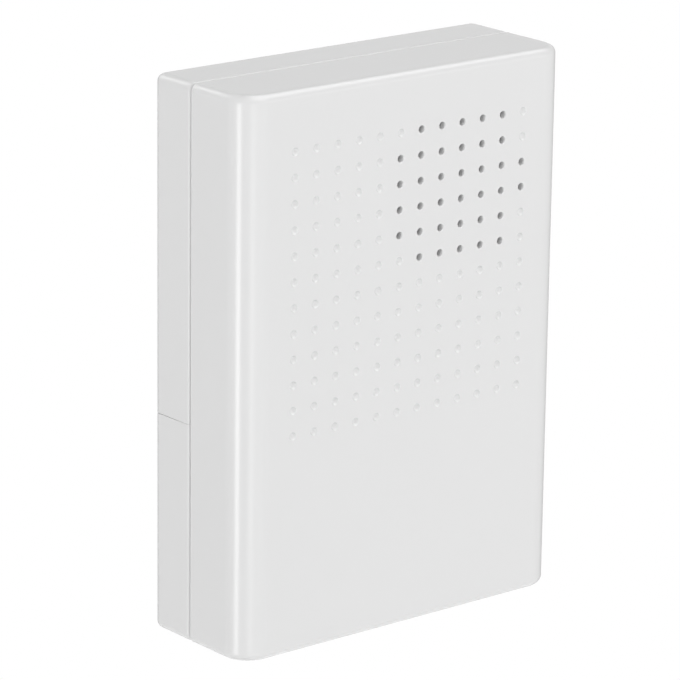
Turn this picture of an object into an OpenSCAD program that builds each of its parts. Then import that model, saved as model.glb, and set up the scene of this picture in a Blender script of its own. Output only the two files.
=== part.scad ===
// Doorbell chime box: a moulded two-part case with a sliding rear cover, a small
// loudspeaker behind a field of round holes, a melody board and three round cells.
// The rear face lies on the wall at Y = 0, the front looks along -Y, and Z = 0 is mid-height.

/* [Case] */
// Width across the two sides
case_w = 90; // [88:0.5:110]
// Height from the bottom to the top
case_h = 125.5; // [124:0.5:150]
// Depth from the wall face to the front
case_d = 32; // [31:0.5:40]
// Depth of the rear half, measured to the middle of the parting groove
rear_d = 13.2; // [12:0.1:15]
// Wall thickness of the mouldings
wall = 2; // [1.7:0.1:2.3]
// Radius of the two upright front edges
front_r = 6.5; // [4:0.5:9]
// Radius of the two upright rear edges
rear_r = 2.3; // [2:0.1:4]
// Radius along the top and bottom edges
edge_r = 1.8; // [0.6:0.1:1.9]
// Width of the parting groove between the two halves
groove_w = 0.8; // [0.5:0.1:1.4]
// Depth of the parting groove
groove_depth = 1.2; // [1:0.1:1.4]
// How far the locating lip reaches into the front half
lip_reach = 2.2; // [1.5:0.1:3]

/* [Sliding cover] */
// Height of the sliding cover
cover_h = 50; // [49.5:0.5:56]
// Running clearance round the sliding cover
cover_gap = 0.3; // [0.2:0.05:0.4]
// Height of the guide rail, across the slide
rail_h = 1.4; // [1:0.1:2]
// How far the guide rail stands in from the cover's side
rail_reach = 1; // [0.6:0.1:1.2]
// Width of each tongue on the cover's top edge
tongue_w = 15; // [8:0.5:18]
// Length of each tongue
tongue_l = 2.3; // [1.5:0.1:3]
// Number of finger grooves
grip_count = 5; // [3:1:7]
// Length of a finger groove
grip_w = 26; // [16:1:40]

/* [Hole field] */
// Columns and rows of the hole field
grid_n = 12; // [12:1:14]
// Distance between neighbouring columns
column_pitch = 5.8; // [5:0.1:5.9]
// Distance between neighbouring rows
row_pitch = 5.7; // [5:0.1:5.9]
// Diameter of a through hole
hole_d = 1.6; // [1.2:0.1:2.2]
// Diameter of a blind dimple
dimple_d = 2.1; // [1.4:0.1:2.4]
// Depth of a blind dimple
dimple_depth = 0.25; // [0.2:0.05:0.7]
// Distance from the top of the case to the first row
grid_top = 13.1; // [11:0.1:15]
// How far the field sits to the right of the middle
grid_shift = 0.33; // [0:0.01:0.5]

/* [Loudspeaker] */
// Outside diameter of the loudspeaker
speaker_d = 45; // [44:0.5:46]
// Diameter of the ring magnet
magnet_d = 30; // [27:0.5:32]
// Thickness of the ring magnet
magnet_t = 6; // [4:0.5:7]
// Height of the moulded seat that the loudspeaker stands on
seat_h = 2.5; // [2:0.1:3]
// Depth of the pressed basket
basket_depth = 7; // [6.5:0.1:8]
// Thickness of the basket sheet
sheet_t = 0.8; // [0.6:0.1:1]
// Diameter of the voice coil
coil_d = 12.6; // [11:0.2:13]

/* [Board] */
// Width of the circuit board
board_w = 27; // [25:0.5:28]
// Height of the circuit board
board_h = 40; // [38:0.5:44]
// Thickness of the circuit board
board_t = 1.6; // [1:0.2:2]
// Height of the board above the inside of the front
board_stand = 9; // [6:0.5:11]
// Diameter of the insulated inner leads
lead_d = 1.2; // [0.8:0.1:1.4]

/* [Cells and wiring bay] */
// Diameter of a cell
cell_d = 14.5; // [13.5:0.1:14.7]
// Length of a cell with its tip
cell_l = 50.5; // [49:0.5:51]
// Diameter of the cell's tip
tip_d = 5.5; // [4.5:0.1:6]
// Length of the cell's tip
tip_l = 1; // [0.6:0.1:1.5]
// Length of a contact spring as it is held
spring_l = 7.5; // [7:0.1:8]
// Wire diameter of a contact spring
spring_wire = 0.8; // [0.6:0.1:0.9]
// Number of curls in a contact spring
spring_curls = 4; // [3:1:4]
// Thickness of a contact plate
contact_t = 0.5; // [0.4:0.1:0.8]
// Thickness of the tray floor
floor_t = 1.6; // [1.2:0.1:2]
// Distance between the two terminals
terminal_pitch = 10; // [9:0.2:11]

/* [Wall fixing] */
// Distance between the two keyholes
keyhole_span = 60; // [50:1:62]
// Height of the keyhole entries above mid-height
keyhole_z = 42; // [36:1:44]
// Diameter of the keyhole entry
keyhole_d = 8; // [7:0.2:9]
// Width of the keyhole slot
keyhole_slot = 4.2; // [3.5:0.1:5]
// Travel along the keyhole slot
keyhole_travel = 6; // [5:0.5:8]
// Diameter of the bell-wire inlet
inlet_d = 8; // [5:0.5:9]

/* [Fasteners] */
// Shank diameter of a case screw
screw_d = 2.9; // [2.5:0.1:3.2]
// Length of a case screw under its head
screw_l = 12; // [10:0.5:14]
// Head diameter of a case screw
screw_head_d = 5.6; // [5:0.1:6]
// Depth at which the screw head sits below the rear face
screw_sink = 9; // [6:0.5:9.5]

/* [Hidden] */
$fn = 48;
// Clearances: loose parts, screw threads, and a seated part beside its seat
fit_gap = 0.3;
thread_gap = 0.05;
seat_gap = 0.2;
past = 1;

// Case planes
half_w = case_w / 2;
half_h = case_h / 2;
front_in_y = wall - case_d;
front_rim_y = -rear_d - groove_w / 2;
rear_rim_y = -rear_d + groove_w / 2;
seam_z = cover_h - half_h;
cover_top_z = seam_z - cover_gap;
rim_t = groove_depth - seat_gap;
lip_y = front_rim_y - lip_reach;

// Tray that holds the cells and the terminals
tray_inset = wall + cover_gap;
tray_x = half_w - tray_inset;
rail_back = 0.9;
tray_wall = rail_reach + cover_gap + rail_back;
tray_in_x = tray_x - tray_wall;
tray_z0 = tray_inset - half_h;
tray_top = 2.1;
shelf_h = 1.5;
cell_pitch = cell_d + fit_gap;
cell_y = -wall - fit_gap - cell_d / 2;
floor_y = cell_y - cell_d / 2 - seat_gap;
floor_front_y = floor_y - floor_t;
rib_drop = 2;
rib_y = cell_y - rib_drop;
cell_count = 3;
bay_z1 = seam_z - tray_top;
bay_z0 = bay_z1 - cell_count * cell_pitch;
function cell_z(i) = bay_z1 - cell_pitch * (i + 0.5);
bay_x1 = tray_in_x;
bay_x0 = bay_x1 - 2 * contact_t - cell_l - spring_l;
partition = 1.5;
wiring_x0 = -tray_in_x;
wiring_x1 = bay_x0 - partition;
rail_offset = 1.4;
rail_y = cell_y + rail_offset;
rail_stop = 3;
rail_top_z = seam_z - rail_stop;
tongue_x = half_w * 0.58;
tongue_y = -wall * 0.55;
pocket_depth = 3;
contact_half = 5;
tail_half = 1.5;
spring_r = 4;
spring_end_r = 2.8;
spring_steps = 8;
spring_sides = 6;
cell_edge = 0.6;

// Hole field and loudspeaker
function hole_x(c) = grid_shift + (c - (grid_n + 1) / 2) * column_pitch;
function hole_z(r) = half_h - grid_top - (r - 1) * row_pitch;
open_cols = [[7, 11], [6, 11], [6, 12], [6, 12], [6, 11], [7, 11]];
speaker_col = 8.9;
speaker_row = 3.5;
speaker_x = hole_x(speaker_col);
speaker_z = hole_z(speaker_row);
speaker_r = speaker_d / 2;
gasket_t = 0.8;
ring_w = 2.3;
collar_t = 1.5;
flange_y = front_in_y + seat_h + gasket_t;
clamp_y = flange_y + sheet_t;
roll_r = 1.5;
cone_r = speaker_r - ring_w - seat_gap - 2 * roll_r;
coil_r = coil_d / 2;
coil_wall = 0.3;
coil_gap = 0.4;
cone_t = 0.35;
glue_w = 1.2;
neck_rise = 2;
neck_y = flange_y + basket_depth - neck_rise;
basket_floor_y = flange_y + basket_depth;
plate_t = 1.6;
yoke_t = 1.8;
plate_y = basket_floor_y;
magnet_y = plate_y + plate_t;
yoke_y = magnet_y + magnet_t;
basket_r = 13.4;
basket_bend = 0.5;
flare_r = speaker_r - ring_w;
// Outside radius of the basket's flare at a depth
function basket_out(y) =
    let (top = flare_r + basket_bend)
        top - (top - basket_r) * (y - clamp_y) / (basket_floor_y - clamp_y);
pole_inset = 0.9;
pole_r = basket_r - pole_inset;
magnet_bore = 2.2;
washer_t = 0.8;
washer_r = 4.1;
clamp_reach = 2.9;
clamp_r = speaker_r + clamp_reach;
// The right clamp stands off the side wall, and turns down where the wall is nearer
clamp_side_x = half_w - wall - fit_gap - washer_r;
clamp_angles = [-acos(min(1, (clamp_side_x - speaker_x) / clamp_r)), 145, 250];
function clamp_x(a) = speaker_x + clamp_r * cos(a);
function clamp_z(a) = speaker_z + clamp_r * sin(a);
tag_rise = 3.4;
tag_y = flange_y + tag_rise;
tag_half = 2.3;
tag_x = speaker_x - basket_out(tag_y) - seat_gap - tag_half;
tag_w = 9.2;
tag_pitch = 5.2;
tag_t = 1;
lug_t = 0.5;
lug_half = 1.25;
lug_y = tag_y + tag_t + lug_t;

// Circuit board, standing on the front half in the corner beside the loudspeaker
board_side_gap = 2;
board_top_gap = 12.75;
board_x0 = wall + board_side_gap - half_w;
board_x1 = board_x0 + board_w;
board_z1 = half_h - wall - board_top_gap;
board_z0 = board_z1 - board_h;
board_y = front_in_y + board_stand + board_t;
pad_inset = 3;
pad_z = board_z0 + pad_inset;
board_inset = 3.5;
board_holes = [
    [board_x0 + board_inset, board_z1 - board_inset],
    [board_x1 - board_inset, board_z1 - board_inset],
    [board_x0 + board_inset, board_z0 + 9]
];

// Screws through the case
boss_x = half_w - 6.5;
boss_zs = [half_h - 6.75, seam_z + 7.75];
boss_r = 3.5;
well_r = 4;
seat_t = 2;
boss_y = -screw_sink - seat_t;
post_r = 2.5;

// Screw heads, and the small screws of the loudspeaker, the board and the terminals
screw_head_h = 2;
cross_w = 0.3;
cross_l = 1.2;
slot_w = 0.6;
small_r = 1;
small_head_r = 2;
small_head_h = 1.4;
clamp_screw_l = 4.5;
board_screw_l = 6;
fixing_r = 1.3;
fixing_head_r = 2.4;
fixing_head_h = 1.6;
fixing_sink = 3;
terminal_screw_r = 1.1;
terminal_head_r = 1.7;
terminal_screw_l = 1.6;

// Terminals in the wiring bay
terminal_x = (wiring_x0 + wiring_x1) / 2;
terminal_drop = 26;
terminal_z = bay_z1 - terminal_drop;
terminal_l = 10;
terminal_margin = 3;
terminal_h = terminal_pitch + 2 * terminal_margin;
terminal_depth = 9;
insert_rise = 3.2;
insert_y = floor_y + insert_rise;
insert_r = 2.2;
insert_inset = 0.5;
wire_r = 1.4;
terminal_y = floor_y + terminal_depth;
function terminal_at(s) = terminal_z + s * terminal_pitch / 2;
fixing_boss_r = 2.6;
fixing_boss_h = 3;
fixing_depth = 2;
fixing_tip_y = floor_front_y - fixing_depth;
pass_half = 5;
pass_y = floor_y + 5;
pass_depth = 5;
lead_r = lead_d / 2;
lead_steps = 3;
lead_sides = 8;
lead_hole_r = lead_r + 2 * fit_gap;
dress_y = floor_front_y - lead_r - seat_gap;
inlet_side = 6;
inlet_rise = 8.75;
inlet_x = terminal_x + inlet_side;
inlet_z = seam_z + inlet_rise;

// Shared shapes

// A box between two corners
module block(x0, x1, y0, y1, z0, z1) {
    translate([x0, y0, z0])
        cube([x1 - x0, y1 - y0, z1 - z0]);
}

// A round bar along Y
module rod(x, z, y0, y1, r) {
    translate([x, y0, z])
        rotate([-90, 0, 0])
            cylinder(h = y1 - y0, r = r);
}

// A ring along Y
module ring(x, z, y0, y1, r_out, r_in) {
    difference() {
        rod(x, z, y0, y1, r_out);
        rod(x, z, y0 - past, y1 + past, r_in);
    }
}

// A round bar along X
module bar(x0, x1, y, z, r) {
    translate([x0, y, z])
        rotate([0, 90, 0])
            cylinder(h = x1 - x0, r = r);
}

// A rectangle whose far end has two rounded corners
module round_end(len, width, r) {
    translate([0, -width / 2])
        square([len - r, width]);
    translate([0, r - width / 2])
        square([len, width - 2 * r]);
    for (s = [-1, 1])
        translate([len - r, s * (width / 2 - r)])
            circle(r = r);
}

// Half a case, open plane at Y = 0 and closed towards -Y, with rounded upright and level edges
module rounded_half(w, h, depth, r, r_edge) {
    rotate([90, 0, 0])
        linear_extrude(depth - r)
            for (s = [0, 180])
                rotate(s)
                    round_end(w / 2, h, r_edge);
    translate([w / 2 - r, r - depth, 0])
        rotate([90, 0, -90])
            linear_extrude(w - 2 * r)
                round_end(r, h, r_edge);
    for (s = [-1, 1])
        translate([s * (w / 2 - r), r - depth, 0])
            rotate(s < 0 ? 180 : 270)
                rotate_extrude(angle = 90)
                    intersection() {
                        round_end(r, h, r_edge);
                        translate([0, -h])
                            square([r, 2 * h]);
                    }
}

// The hollow of half a case
module half_hollow(w, h, depth, r) {
    translate([0, 0, -h / 2])
        linear_extrude(h)
            rotate(-90)
                round_end(depth, w, r);
}

// The outside of the rear half, above or below a level
module rear_outside(z0, z1) {
    intersection() {
        translate([0, rear_rim_y, 0])
            rotate(180)
                rounded_half(case_w, case_h, -rear_rim_y, rear_r, edge_r);
        block(-case_w, case_w, -case_d, past, z0, z1);
    }
}

// A pan-head screw along Y with a cross recess, its head towards +Y
module pan_screw(x, z, y_seat, shank_r, head_r, length, head_h) {
    half_l = head_r * cross_l / 2;
    half_t = head_r * cross_w / 2;
    difference() {
        union() {
            rod(x, z, y_seat - length, y_seat + past / 10, shank_r);
            rod(x, z, y_seat, y_seat + head_h, head_r);
        }
        translate([x, y_seat + head_h / 2, z]) {
            block(-half_l, half_l, 0, head_h, -half_t, half_t);
            block(-half_t, half_t, 0, head_h, -half_l, half_l);
        }
    }
}

module small_screw(x, z, y_seat, length) {
    pan_screw(x, z, y_seat, small_r, small_head_r, length, small_head_h);
}

// A slotted screw along Y with its seat at Y = 0, its head as tall as its shank is long
module slot_screw(shank_r, head_r, length) {
    difference() {
        union() {
            rod(0, 0, -length, past / 10, shank_r);
            rod(0, 0, 0, length, head_r);
        }
        block(-2 * head_r, 2 * head_r, length - slot_w, length + past, -slot_w / 2, slot_w / 2);
    }
}

// A part turned about the loudspeaker's axis, its outline given as [radius, Y] points
module speaker_turn(points) {
    translate([speaker_x, 0, speaker_z])
        rotate([-90, 0, 0])
            rotate_extrude()
                polygon(points);
}

// Swept round tubes
function unit(v) = v / norm(v);
function heading(p, i) = unit(p[min(i + 1, len(p) - 1)] - p[max(i - 1, 0)]);
function square_to(t, n) = unit(n - t * (n * t));
function sides_along(p, n, i = 0) =
    i == len(p)
        ? []
        : let (m = square_to(heading(p, i), n)) concat([m], sides_along(p, m, i + 1));
function curve_point(a, b, c, d, t) =
    0.5 * (2 * b + (c - a) * t + (2 * a - 5 * b + 4 * c - d) * t * t + (3 * b - a - 3 * c + d) * t * t * t);
// Straight at both ends, smooth between
function smooth_route(p, steps) = concat(
    [p[0]],
    [
        for (i = [1 : len(p) - 3])
            for (k = [0 : steps - 1])
                curve_point(p[i - 1], p[i], p[i + 1], p[i + 2], k / steps)
    ],
    [p[len(p) - 2], p[len(p) - 1]]
);

module tube(p, r, sides, start) {
    across = sides_along(p, start);
    last = (len(p) - 1) * sides;
    points = [
        for (i = [0 : len(p) - 1])
            let (t = heading(p, i), n = across[i], b = cross(t, n))
                for (k = [0 : sides - 1])
                    p[i] + r * (cos(360 * k / sides) * n + sin(360 * k / sides) * b)
    ];
    walls = [
        for (i = [0 : len(p) - 2])
            for (k = [0 : sides - 1])
                let (a = i * sides + k, a1 = i * sides + (k + 1) % sides)
                    for (f = [[a, a + sides, a1 + sides], [a, a1 + sides, a1]])
                        f
    ];
    ends = [
        for (k = [1 : sides - 2])
            for (f = [[0, k, k + 1], [last, last + k + 1, last + k]])
                f
    ];
    polyhedron(points = points, faces = concat(walls, ends));
}

module lead(route, start) {
    tube(smooth_route(route, lead_steps), lead_r, lead_sides, start);
}

// Case

module front_outside(depth) {
    translate([0, front_rim_y, 0])
        rounded_half(case_w, case_h, depth, front_r, edge_r);
}

module front_cover() {
    front_depth = case_d + front_rim_y;
    in_x = half_w - wall;
    foot_y = front_in_y - wall / 2;
    rim_x = half_w - rim_t;
    rim_z = half_h - rim_t;
    color("whitesmoke")
        difference() {
            union() {
                difference() {
                    front_outside(front_depth);
                    translate([0, front_rim_y, 0])
                        half_hollow(2 * in_x, case_h - 2 * wall, front_depth - wall, front_r - wall);
                    block(-rim_x, rim_x, lip_y - fit_gap, front_rim_y + past, -rim_z, rim_z);
                }
                intersection() {
                    front_outside(front_depth);
                    for (s = [-1, 1])
                        for (z = boss_zs)
                            rod(s * boss_x, z, foot_y, front_rim_y, boss_r);
                }
                for (s = [-1, 1])
                    for (z = boss_zs)
                        rod(s * boss_x, z, front_rim_y, boss_y, boss_r);
                ring(speaker_x, speaker_z, foot_y, front_in_y + seat_h, speaker_r, speaker_r - ring_w);
                ring(speaker_x, speaker_z, foot_y, clamp_y, speaker_r + collar_t, speaker_r + seat_gap);
                for (a = clamp_angles)
                    rod(clamp_x(a), clamp_z(a), foot_y, clamp_y, post_r);
                for (p = board_holes)
                    rod(p[0], p[1], foot_y, board_y - board_t, post_r);
            }
            rod(speaker_x, speaker_z, front_in_y + seat_h, clamp_y + past, speaker_r + seat_gap);
            for (s = [-1, 1])
                for (z = boss_zs)
                    rod(s * boss_x, z, boss_y - screw_l, boss_y + past, screw_d / 2 + thread_gap);
            for (a = clamp_angles)
                rod(clamp_x(a), clamp_z(a), front_in_y, clamp_y + past, small_r + thread_gap);
            for (p = board_holes)
                rod(p[0], p[1], front_in_y, board_y, small_r + thread_gap);
            for (r = [1 : grid_n])
                for (c = [1 : grid_n])
                    hole_or_dimple(c, r);
        }
}

function is_open(c, r) = r <= len(open_cols) && c >= open_cols[r - 1][0] && c <= open_cols[r - 1][1];

module hole_or_dimple(c, r) {
    a = dimple_d / 2;
    ball_r = (a * a + dimple_depth * dimple_depth) / (2 * dimple_depth);
    if (is_open(c, r))
        rod(hole_x(c), hole_z(r), -case_d - past, front_in_y + past, hole_d / 2);
    else
        translate([hole_x(c), dimple_depth - case_d - ball_r, hole_z(r)])
            sphere(r = ball_r);
}

module rear_case() {
    color("white")
        difference() {
            union() {
                difference() {
                    rear_outside(seam_z, case_h);
                    block(wall - half_w, half_w - wall, -case_d, -wall, -case_h, half_h - wall);
                }
                lip();
                for (s = [-1, 1])
                    for (z = boss_zs)
                        rod(s * boss_x, z, boss_y, -wall / 2, well_r);
            }
            for (s = [-1, 1])
                for (z = boss_zs) {
                    rod(s * boss_x, z, -screw_sink, past, screw_head_d / 2 + fit_gap);
                    rod(s * boss_x, z, boss_y - past, past, screw_d / 2 + fit_gap / 2);
                }
            for (s = [-1, 1])
                keyhole(s * keyhole_span / 2, keyhole_z);
            rod(inlet_x, inlet_z, -wall - past, past, inlet_d / 2);
            for (s = [-1, 1])
                tongue(s, fit_gap, cover_top_z);
        }
}

// The lip that bridges the parting groove and enters the front half
module lip() {
    x = half_w - groove_depth;
    z = half_h - groove_depth;
    difference() {
        union() {
            block(-x, x, lip_y, rear_rim_y - cover_gap, -z, z);
            block(-x, x, lip_y, rear_rim_y + wall, seam_z, z);
        }
        block(-tray_x, tray_x, lip_y - past, past, tray_z0, half_h - tray_inset);
    }
}

// The tray under the sliding cover, welded into the lip, with a shelf above the seam against the rear wall
module battery_tray() {
    rear_y = -wall - cover_gap;
    shelf_z = seam_z + shelf_h;
    color("white") {
        difference() {
            union() {
                block(-tray_x, tray_x, floor_front_y, rear_y, tray_z0, seam_z);
                block(-tray_x, tray_x, floor_front_y, -wall, seam_z, shelf_z);
                rod(terminal_x, terminal_z, floor_front_y - fixing_boss_h, floor_y, fixing_boss_r);
            }
            block(bay_x0, bay_x1, floor_y, past, bay_z0, bay_z1);
            block(wiring_x0, wiring_x1, floor_y, past, bay_z0, bay_z1);
            for (s = [-1, 1]) {
                rail(s, cover_gap, tray_z0 - past);
                tongue(s, fit_gap, cover_top_z);
                rod(terminal_x, terminal_at(s), floor_front_y - past, floor_y + past, lead_hole_r);
            }
            translate([terminal_x, 0, 0])
                block(-pass_half, pass_half, pass_y, pass_y + pass_depth, bay_z1 - past, shelf_z + past);
            rod(terminal_x, terminal_z, fixing_tip_y, floor_y + past, fixing_r + thread_gap);
            contact_tail(bay_x1, -1, cell_z(0), seat_gap);
            contact_tail(bay_x0, 1, cell_z(cell_count - 1), seat_gap);
        }
        cradles();
    }
}

// Ribs with round seats under the cells
module cradles() {
    rib_half = 1;
    for (x = [bay_x0 + cell_l * 0.3, bay_x0 + cell_l * 0.8])
        difference() {
            translate([x, 0, 0])
                block(-rib_half, rib_half, floor_y - floor_t / 2, rib_y, bay_z0 - past / 4, bay_z1 + past);
            for (i = [0 : cell_count - 1])
                bar(x - rib_half - past, x + rib_half + past, cell_y, cell_z(i), cell_d / 2 + seat_gap);
        }
}

// A hanging keyhole: a round entry with a narrow slot above it
module keyhole(x, z) {
    rod(x, z, -wall - past, past, keyhole_d / 2);
    rod(x, z + keyhole_travel, -wall - past, past, keyhole_slot / 2);
    block(x - keyhole_slot / 2, x + keyhole_slot / 2, -wall - past, past, z, z + keyhole_travel);
}

// A guide rail of the cover, or the groove that it runs in
module rail(s, gap, z0) {
    x0 = half_w - wall - rail_reach - gap;
    x1 = half_w - wall + rim_t * (gap > 0 ? 1 : 0.5);
    mirror([s < 0 ? 1 : 0, 0, 0])
        block(x0, x1, rail_y - rail_h / 2 - gap, rail_y + rail_h / 2 + gap, z0, rail_top_z + gap);
}

// A tongue on the cover's top edge, or the pocket that it slides into
module tongue(s, gap, z0) {
    half = tongue_w / 2 + gap;
    y0 = -wall - (gap > 0 ? pocket_depth : 0);
    translate([s * tongue_x, 0, 0])
        block(-half, half, y0, tongue_y + gap, z0, seam_z + tongue_l + gap);
}

module battery_cover() {
    grip_pitch = 2.6;
    grip_r = 0.95;
    grip_y = 0.35;
    grip_z = seam_z - 8;
    color("white")
        difference() {
            union() {
                difference() {
                    rear_outside(-case_h, cover_top_z);
                    block(wall - half_w, half_w - wall, -case_d, -wall, wall - half_h, case_h);
                }
                for (s = [-1, 1]) {
                    rail(s, 0, wall / 2 - half_h);
                    tongue(s, 0, cover_top_z - wall);
                }
            }
            for (i = [0 : grip_count - 1])
                bar(-grip_w / 2, grip_w / 2, grip_y, grip_z - i * grip_pitch, grip_r);
        }
}

module case_screws() {
    color("silver")
        for (s = [-1, 1])
            for (z = boss_zs)
                pan_screw(s * boss_x, z, -screw_sink, screw_d / 2, screw_head_d / 2, screw_l, screw_head_h);
}

// Loudspeaker, front to rear

module speaker_gasket() {
    color("dimgray")
        ring(speaker_x, speaker_z, front_in_y + seat_h, flange_y, speaker_r - seat_gap, speaker_r - ring_w);
}

module speaker_basket() {
    floor_lap = 1;
    in_r = coil_r + floor_lap;
    window_rim = 3;
    window_x0 = basket_r + sheet_t;
    window_x1 = flare_r - window_rim;
    window_y0 = clamp_y + sheet_t;
    window_y1 = plate_y - sheet_t;
    window_half = 5;
    ear_x0 = tag_x - tag_half + seat_gap;
    ear_x1 = speaker_x - basket_out(tag_y) + sheet_t;
    color("darkgray") {
        difference() {
            speaker_turn([
                [speaker_r, flange_y],
                [speaker_r, clamp_y],
                [flare_r + basket_bend, clamp_y],
                [basket_r, basket_floor_y],
                [in_r, basket_floor_y],
                [in_r, basket_floor_y - sheet_t],
                [basket_r - basket_bend, basket_floor_y - sheet_t],
                [flare_r - seat_gap, clamp_y - seat_gap],
                [flare_r - seat_gap, flange_y]
            ]);
            for (a = [45 : 90 : 315])
                translate([speaker_x, 0, speaker_z])
                    rotate([0, a, 0])
                        block(window_x0, window_x1, window_y0, window_y1, -window_half, window_half);
        }
        translate([0, 0, speaker_z])
            block(ear_x0, ear_x1, tag_y - sheet_t, tag_y, -tag_w / 2, tag_w / 2);
    }
}

module speaker_surround() {
    roll_x = cone_r + roll_r;
    color("black")
        translate([speaker_x, 0, speaker_z])
            rotate([-90, 0, 0])
                rotate_extrude() {
                    intersection() {
                        translate([roll_x, flange_y])
                            difference() {
                                circle(r = roll_r);
                                circle(r = roll_r - cone_t);
                            }
                        translate([cone_r - past, flange_y - 2 * roll_r])
                            square([4 * roll_r, 2 * roll_r]);
                    }
                    translate([cone_r - glue_w, flange_y - cone_t])
                        square([glue_w + cone_t, cone_t]);
                }
}

module speaker_cone() {
    r_neck = coil_r + thread_gap;
    color("black")
        speaker_turn([
            [cone_r, flange_y],
            [cone_r, flange_y + cone_t],
            [cone_r - glue_w, flange_y + cone_t],
            [r_neck, neck_y + cone_t],
            [r_neck, neck_y],
            [cone_r - glue_w, flange_y]
        ]);
}

module dust_cap() {
    cap_lap = 0.7;
    cap_r = coil_r + cap_lap;
    cap_h = 2.2;
    cap_lift = 0.65;
    cap_fn = 120;
    ball_r = (cap_r * cap_r + cap_h * cap_h) / (2 * cap_h);
    base_y = neck_y - cap_lift;
    color("black")
        translate([speaker_x, 0, speaker_z])
            intersection() {
                translate([0, base_y - cap_h + ball_r, 0])
                    difference() {
                        sphere(r = ball_r, $fn = cap_fn);
                        sphere(r = ball_r - cone_t, $fn = cap_fn);
                    }
                rod(0, 0, base_y - 2 * cap_h, base_y, cap_r);
            }
}

module voice_coil() {
    former_rise = 0.3;
    coil_dip = 1;
    color("peru")
        ring(speaker_x, speaker_z, neck_y - former_rise, magnet_y + coil_dip, coil_r, coil_r - coil_wall);
}

module speaker_top_plate() {
    color("silver")
        ring(speaker_x, speaker_z, plate_y, magnet_y, pole_r, coil_r + coil_gap);
}

module speaker_magnet() {
    color("dimgray")
        ring(speaker_x, speaker_z, magnet_y, yoke_y, magnet_d / 2, coil_r + magnet_bore);
}

module speaker_yoke() {
    color("silver") {
        rod(speaker_x, speaker_z, yoke_y, yoke_y + yoke_t, pole_r);
        rod(speaker_x, speaker_z, plate_y, yoke_y + yoke_t / 2, coil_r - coil_wall - coil_gap);
    }
}

module speaker_tag_board() {
    color("saddlebrown")
        translate([tag_x, tag_y, speaker_z])
            block(-tag_half, tag_half, 0, tag_t, -tag_w / 2, tag_w / 2);
}

module speaker_lugs() {
    color("gold")
        for (s = [-1, 1])
            translate([tag_x, tag_y + tag_t, speaker_z + s * tag_pitch / 2])
                block(-lug_half, lug_half, 0, lug_t, -lug_half, lug_half);
}

module speaker_clamps() {
    color("silver")
        for (a = clamp_angles)
            ring(clamp_x(a), clamp_z(a), clamp_y, clamp_y + washer_t, washer_r, small_r + seat_gap);
}

module clamp_screws() {
    color("silver")
        for (a = clamp_angles)
            small_screw(clamp_x(a), clamp_z(a), clamp_y + washer_t, clamp_screw_l);
}

// Circuit board

module circuit_board() {
    color("darkkhaki")
        difference() {
            block(board_x0, board_x1, board_y - board_t, board_y, board_z0, board_z1);
            for (p = board_holes)
                rod(p[0], p[1], board_y - board_t - past, board_y + past, small_r + seat_gap);
        }
}

module board_screws() {
    color("silver")
        for (p = board_holes)
            small_screw(p[0], p[1], board_y, board_screw_l);
}

module melody_chip() {
    chip_r = 5;
    chip_h = 1.8;
    chip_fn = 160;
    ball_r = (chip_r * chip_r + chip_h * chip_h) / (2 * chip_h);
    color("black")
        intersection() {
            translate([board_x0 + board_w * 0.45, board_y + chip_h - ball_r, board_z0 + board_h * 0.68])
                sphere(r = ball_r, $fn = chip_fn);
            block(board_x0, board_x1, board_y, board_y + 2 * chip_h, board_z0, board_z1);
        }
}

// An upright can with a vented sleeve edge
module capacitor(x, r, length) {
    z = board_z0 + board_h * 0.42;
    crimp = 0.5;
    rod(x, z, board_y, board_y + length, r);
    rod(x, z, board_y + length - past, board_y + length + crimp / 2, r - crimp);
}

module large_capacitor() {
    color("midnightblue")
        capacitor(board_x0 + board_w * 0.22, 3.15, 9);
}

module small_capacitor() {
    color("midnightblue")
        capacitor(board_x0 + board_w * 0.55, 2.5, 8);
}

module transistor() {
    x = board_x0 + board_w * 0.81;
    z = board_z0 + board_h * 0.44;
    body_r = 2.4;
    flat_z = 1.2;
    stand = 2.5;
    body_h = 4.5;
    leg_pitch = 1.27;
    leg_r = 0.25;
    color("black")
        translate([x, board_y, z]) {
            intersection() {
                rod(0, 0, stand, stand + body_h, body_r);
                block(-2 * body_r, 2 * body_r, 0, 2 * body_h, -2 * body_r, flat_z);
            }
            for (i = [-1 : 1])
                rod(leg_pitch * i, 0, 0, stand + past / 2, leg_r);
        }
}

module resistors() {
    body_r = 1.1;
    body_l = 6.4;
    wire_r = 0.3;
    leg_r = 0.4;
    span = 10;
    pitch = 3;
    x = board_x0 + board_w * 0.46;
    y = board_y + body_r + seat_gap;
    color("tan")
        for (i = [0 : 2])
            let (z = board_z0 + board_h * 0.16 + pitch * i) {
                bar(x - body_l / 2, x + body_l / 2, y, z, body_r);
                bar(x - span / 2, x + span / 2, y, z, wire_r);
                for (s = [-1, 1])
                    rod(x + s * span / 2, z, board_y, y + leg_r, leg_r);
            }
}

// Terminals

module terminal_block() {
    half_x = terminal_l / 2;
    half_z = terminal_h / 2;
    head_y = terminal_y - fixing_sink;
    sleeve_r = insert_r + seat_gap / 2;
    color("ivory")
        difference() {
            translate([terminal_x, 0, terminal_z])
                block(-half_x, half_x, floor_y, terminal_y, -half_z, half_z);
            for (s = [-1, 1])
                let (z = terminal_at(s)) {
                    bar(terminal_x - terminal_l, terminal_x + terminal_l, insert_y, z, sleeve_r);
                    rod(terminal_x, z, insert_y, terminal_y + past, terminal_head_r + fit_gap);
                    rod(terminal_x, z, floor_y - past, insert_y, lead_hole_r);
                }
            rod(terminal_x, terminal_z, floor_y - past, terminal_y + past, fixing_r + seat_gap);
            rod(terminal_x, terminal_z, head_y, terminal_y + past, fixing_head_r + fit_gap);
        }
}

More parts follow.
